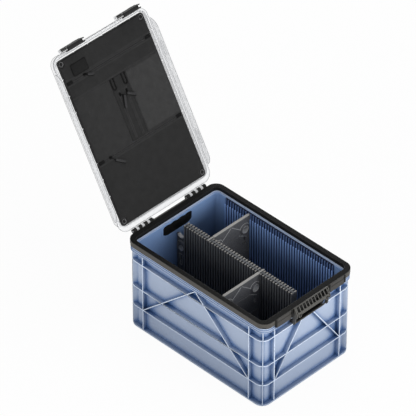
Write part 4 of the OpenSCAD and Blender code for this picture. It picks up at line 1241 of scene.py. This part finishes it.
def makeHandle(node, screwNode):
    look = handleLook
    half = look["half"]
    top = look["top"]
    foot = look["foot"]
    out = look["out"]
    back = out - look["thick"]
    low, high = look["bar"]
    turn = at(0, 0, 0, 0 if restBox(node).mid.y < 0 else 180)
    upper = [(0, top - 2.4), (0, top), (4.4, top), (5, top - 0.8), (3.6, top - 2.4)]
    grip = [(back, low + 1), (back, high - 6), (out - 4.4, high), (out - 2.5, high), (out, high - 2.5),
            (out, low + 2), (out - 2, low)]
    fin = [(3, top - 1), (4.8, top - 0.6), (out - 1.2, high - 1), (out - 3.2, high - 1)]
    cheek = [(-1, top), (9, top - 0.4), (12, high + 4), (out, high - 3), (out, low - 4), (9.5, low - 12),
             (8, foot + 8), (3, foot), (-1, foot)]
    bm = bmesh.new()
    stamp(bm, handleSlice(upper, -half, half), [turn])
    inside = half - look["cheek"] - look["gap"]
    stamp(bm, handleSlice(grip, -inside, inside, 0.8), [turn])
    for i in range(look["fins"]):
        x = -look["zone"] / 2 + i * look["zone"] / (look["fins"] - 1)
        stamp(bm, handleSlice(fin, x - look["fin"] / 2, x + look["fin"] / 2), [turn])
    for s in (-1, 1):
        ends = sorted((s * half, s * (half - look["cheek"])))
        stamp(bm, handleSlice(cheek, *ends, 1.0), [turn])
    z = restBox(screwNode).mid.z
    stamp(bm, handleLobe(), [turn @ at(x, -look["rim"] - back, z, 90, "X") for x in screwsAt])
    wide, deep = look["lip"]
    side = half - look["cheek"] / 2
    r = look["corner"]
    line = [(-side, foot + look["lipRise"])] + arc((r - side, foot + r), r, 180, 270, 7)
    line += arc((side - r, foot + r), r, 270, 360, 7) + [(side, foot + look["lipRise"])]
    path = [(x, -look["rim"] + look["lipOut"] - deep / 2, z) for x, z in line]
    stamp(bm, sweep(path, roundedRect(wide, deep, 1.2, 3), up=(0, -1, 0)), [turn])
    place(bm, node + "_grip", "crate", handleGrey, slotOf[node], [node])


makeHandle("front_handle", "front_handle_screws")
makeHandle("rear_handle", "rear_handle_screws")

# The opening inside: the housing's black back with shallow finger waves on top, the wall's lip round it, and
# two black cheeks that close it between the crate's wall and the cover plate, as housing walls and as painted
# shade behind the opening
holdLook = {
    "half": 64.5, "sill": 278.0, "top": 319.0, "shoulder": 313.0, "wave": 3.2, "count": 48,
    "low": [(0, 13), (5, 8), (13, 3), (26, 0)],
    "back": 277.0, "thick": 1.2, "lip": (7.0, 1.6), "lipAt": 277.4, "lipWiden": 1.045, "lipDrop": 2.6,
    "lipRise": 2.0, "split": 300.0,
    "cheekAt": 290.5, "sideCheek": ((2.0, 14.0, 34.0), 66, 289), "lowCheek": ((12.0, 14.0, 2.0), 61, 271.6),
}


def holdOutline():
    look = holdLook
    half = look["half"]
    count = look["count"]
    waves = [(half - 4 - (2 * half - 8) * i / count,
              look["top"] + look["wave"] * abs(math.sin(4 * math.pi * i / count)) ** 0.8)
             for i in range(count + 1)]
    low = [(x - half, look["sill"] + z) for x, z in look["low"]]
    return (low + [(-x, z) for x, z in reversed(low)] + [(half, look["shoulder"])] + waves
            + [(-half, look["shoulder"])])


def makeHoldOpening(s, end):
    look = holdLook
    bm = softPlate(holdOutline(), look["thick"], 0.2)
    bm.transform(at(0, -s * look["back"] + (look["thick"] if s < 0 else 0), 0, 90, "X"))
    place(bm, end + "_opening_back", "crate", holdBlack, "black_plastic")
    ring = []
    for x, z in holdOutline():
        z += -look["lipDrop"] if z < look["split"] else look["lipRise"]
        ring.append((x * look["lipWiden"], -s * look["lipAt"], z))
    bm = sweep(ring, roundedRect(*look["lip"], 0.7, 2), True, (0, s, 0))
    place(bm, end + "_opening_lip", "crate", blue, "blue_plastic")


def makeHoldShadeBlocks(s, end):
    # Painted shade: black blocks close the view through the hold where it is only in shadow
    bm = bmesh.new()
    for side in (-1, 1):
        for size, x, z in (holdLook["sideCheek"], holdLook["lowCheek"]):
            stamp(bm, softBlock(size, 0.4), [at(s * side * x, -s * holdLook["cheekAt"], z)])
    place(bm, end + "_hold_shade_cheeks", "crate", black, "black_plastic")


for make in (makeHoldOpening, makeHoldShadeBlocks):
    make(1, "front")
    make(-1, "rear")

screwLook = {"head": 3.4, "tall": 2.2, "socket": 1.9, "lobes": 6, "steps": 36,
             "shaft": [(0, 0), (2.0, 0), (2.0, 22), (1.4, 23.4), (0, 23.4)]}


# A round head with a six-lobed socket sunk into it
def socketHead():
    look = screwLook
    tall = look["tall"]
    turns = [math.tau * i / look["steps"] for i in range(look["steps"])]
    outer = [look["head"]] * look["steps"]
    eased = [look["head"] * 0.82] * look["steps"]
    inner = [look["socket"] * (0.86 + 0.14 * math.cos(look["lobes"] * turn)) for turn in turns]
    bm = bmesh.new()
    levels = [(outer, 0), (outer, tall * 0.7), (eased, tall), (inner, tall), (inner, tall * 0.35)]
    loft(bm, [[(r * math.cos(turn), r * math.sin(turn), z) for r, turn in zip(radii, turns)]
              for radii, z in levels])
    bmesh.ops.recalc_face_normals(bm, faces=bm.faces)
    return bm


def makeHandleScrews(node):
    box = restBox(node)
    front = -1 if box.mid.y < 0 else 1
    face = box.low.y if front < 0 else box.high.y
    bm = bmesh.new()
    for x in screwsAt:
        seat = at(x, face - front * screwLook["tall"], box.mid.z, -90 * front, "X")
        stamp(bm, socketHead(), [seat])
        stamp(bm, spun(screwLook["shaft"], 20, False), [seat @ at(0, 0, 0, 180, "X")])
    place(bm, node + "_heads", "crate", screwBlack, slotOf[node], [node])


for node in ("front_handle_screws", "rear_handle_screws"):
    makeHandleScrews(node)
print("hand-holds furnished")


# Floor, light and camera

stageLook = {"floor": (228, 228, 228), "ambient": 0.46, "cool": 1.02, "lift": 0.95, "reach": 8,
             "sink": 0.0005}
directRays = ("Is Camera Ray", "Is Glossy Ray", "Is Transmission Ray")


def addFloor():
    bm = bmesh.new()
    bmesh.ops.create_grid(bm, x_segments=1, y_segments=1, size=stageLook["reach"])
    mesh = bpy.data.meshes.new("floor")
    bm.to_mesh(mesh)
    bm.free()
    floor = bpy.data.objects.new("floor", mesh)
    floor.location.z = -stageLook["sink"]
    scene.collection.objects.link(floor)
    look = Finish("paleFloor", Roughness=0.9, Specular_IOR_Level=0.1)
    look.shader.inputs["Base Color"].default_value = paint(*stageLook["floor"])
    path = look.add("LightPath").outputs
    camera, glossy, through = [path[name] for name in directRays]
    seen = look.maths("MAXIMUM", camera, look.maths("MAXIMUM", glossy, through))
    glow = look.add("Emission", {"Color": white, "Strength": 1.0})
    both = look.add("MixShader", {0: look.maths("MULTIPLY", seen, stageLook["lift"]),
                                  1: look.shader.outputs["BSDF"], 2: glow.outputs["Emission"]})
    look.tree.links.new(both.outputs["Shader"], look.tree.nodes["Material Output"].inputs["Surface"])
    mesh.materials.append(look.material)


# White for the camera, reflections and what is seen through the lid; a softer grey lights the rest
def lightWorld():
    world = bpy.data.worlds.new("studio")
    scene.world = world
    world.use_nodes = True
    tree = world.node_tree
    path = tree.nodes.new("ShaderNodeLightPath")
    most = path.outputs[directRays[0]]
    for name in directRays[1:]:
        both = tree.nodes.new("ShaderNodeMath")
        both.operation = "MAXIMUM"
        tree.links.new(most, both.inputs[0])
        tree.links.new(path.outputs[name], both.inputs[1])
        most = both.outputs["Value"]
    tint = tree.nodes.new("ShaderNodeMixRGB")
    tree.links.new(most, tint.inputs["Fac"])
    ambient = stageLook["ambient"]
    tint.inputs["Color1"].default_value = (ambient, ambient, ambient * stageLook["cool"], 1)
    tint.inputs["Color2"].default_value = white
    tree.links.new(tint.outputs["Color"], tree.nodes["Background"].inputs["Color"])


# Each lamp's place, target, size and power
lamps = {
    "sideLight": ((-3.2, -0.6, 1.0), (0, 0, 0.25), 2.4, 58),
    "frontLight": ((0.6, -3.2, 1.0), (0, 0, 0.25), 2.4, 92),
    "topLight": ((0.4, 0.4, 3.6), (0, 0, 0.2), 2.6, 26),
    "backLight": ((2.6, 2.6, 1.2), (0, 0, 0.25), 2.4, 46),
}


def addLamp(name, place, target, size, power):
    lamp = bpy.data.lights.new(name, "AREA")
    lamp.shape = "SQUARE"
    lamp.size = size
    lamp.energy = power
    holder = bpy.data.objects.new(name, lamp)
    holder.location = place
    holder.rotation_euler = (Vector(target) - Vector(place)).to_track_quat("-Z", "Y").to_euler()
    scene.collection.objects.link(holder)


# Fitted to the crate's straight edges in the photograph
cameraLook = {"azimuth": -45.24, "elevation": 39.40, "lens": 395.6, "sensor": 36, "reach": 100, "aim": 0.150,
              "right": -0.09983, "up": 0.28989, "back": 14.480}


def addCamera():
    look = cameraLook
    azimuth = math.radians(look["azimuth"])
    elevation = math.radians(look["elevation"])
    right = Vector((math.cos(azimuth), math.sin(azimuth), 0))
    back = Vector((math.sin(azimuth) * math.cos(elevation), -math.cos(azimuth) * math.cos(elevation),
                   math.sin(elevation)))
    up = back.cross(right)
    data = bpy.data.cameras.new("view")
    data.lens = look["lens"]
    data.sensor_width = look["sensor"]
    data.sensor_height = look["sensor"]
    data.sensor_fit = "HORIZONTAL"
    data.clip_end = look["reach"]
    camera = bpy.data.objects.new("view", data)
    spot = Vector((0, 0, look["aim"])) + right * look["right"] + up * look["up"] + back * look["back"]
    camera.matrix_world = Matrix.Translation(spot) @ Matrix((right, up, back)).transposed().to_4x4()
    scene.collection.objects.link(camera)
    scene.camera = camera


addFloor()
lightWorld()
for name, facts in lamps.items():
    addLamp(name, *facts)
addCamera()
scene.view_settings.view_transform = "Standard"
print("stage set")
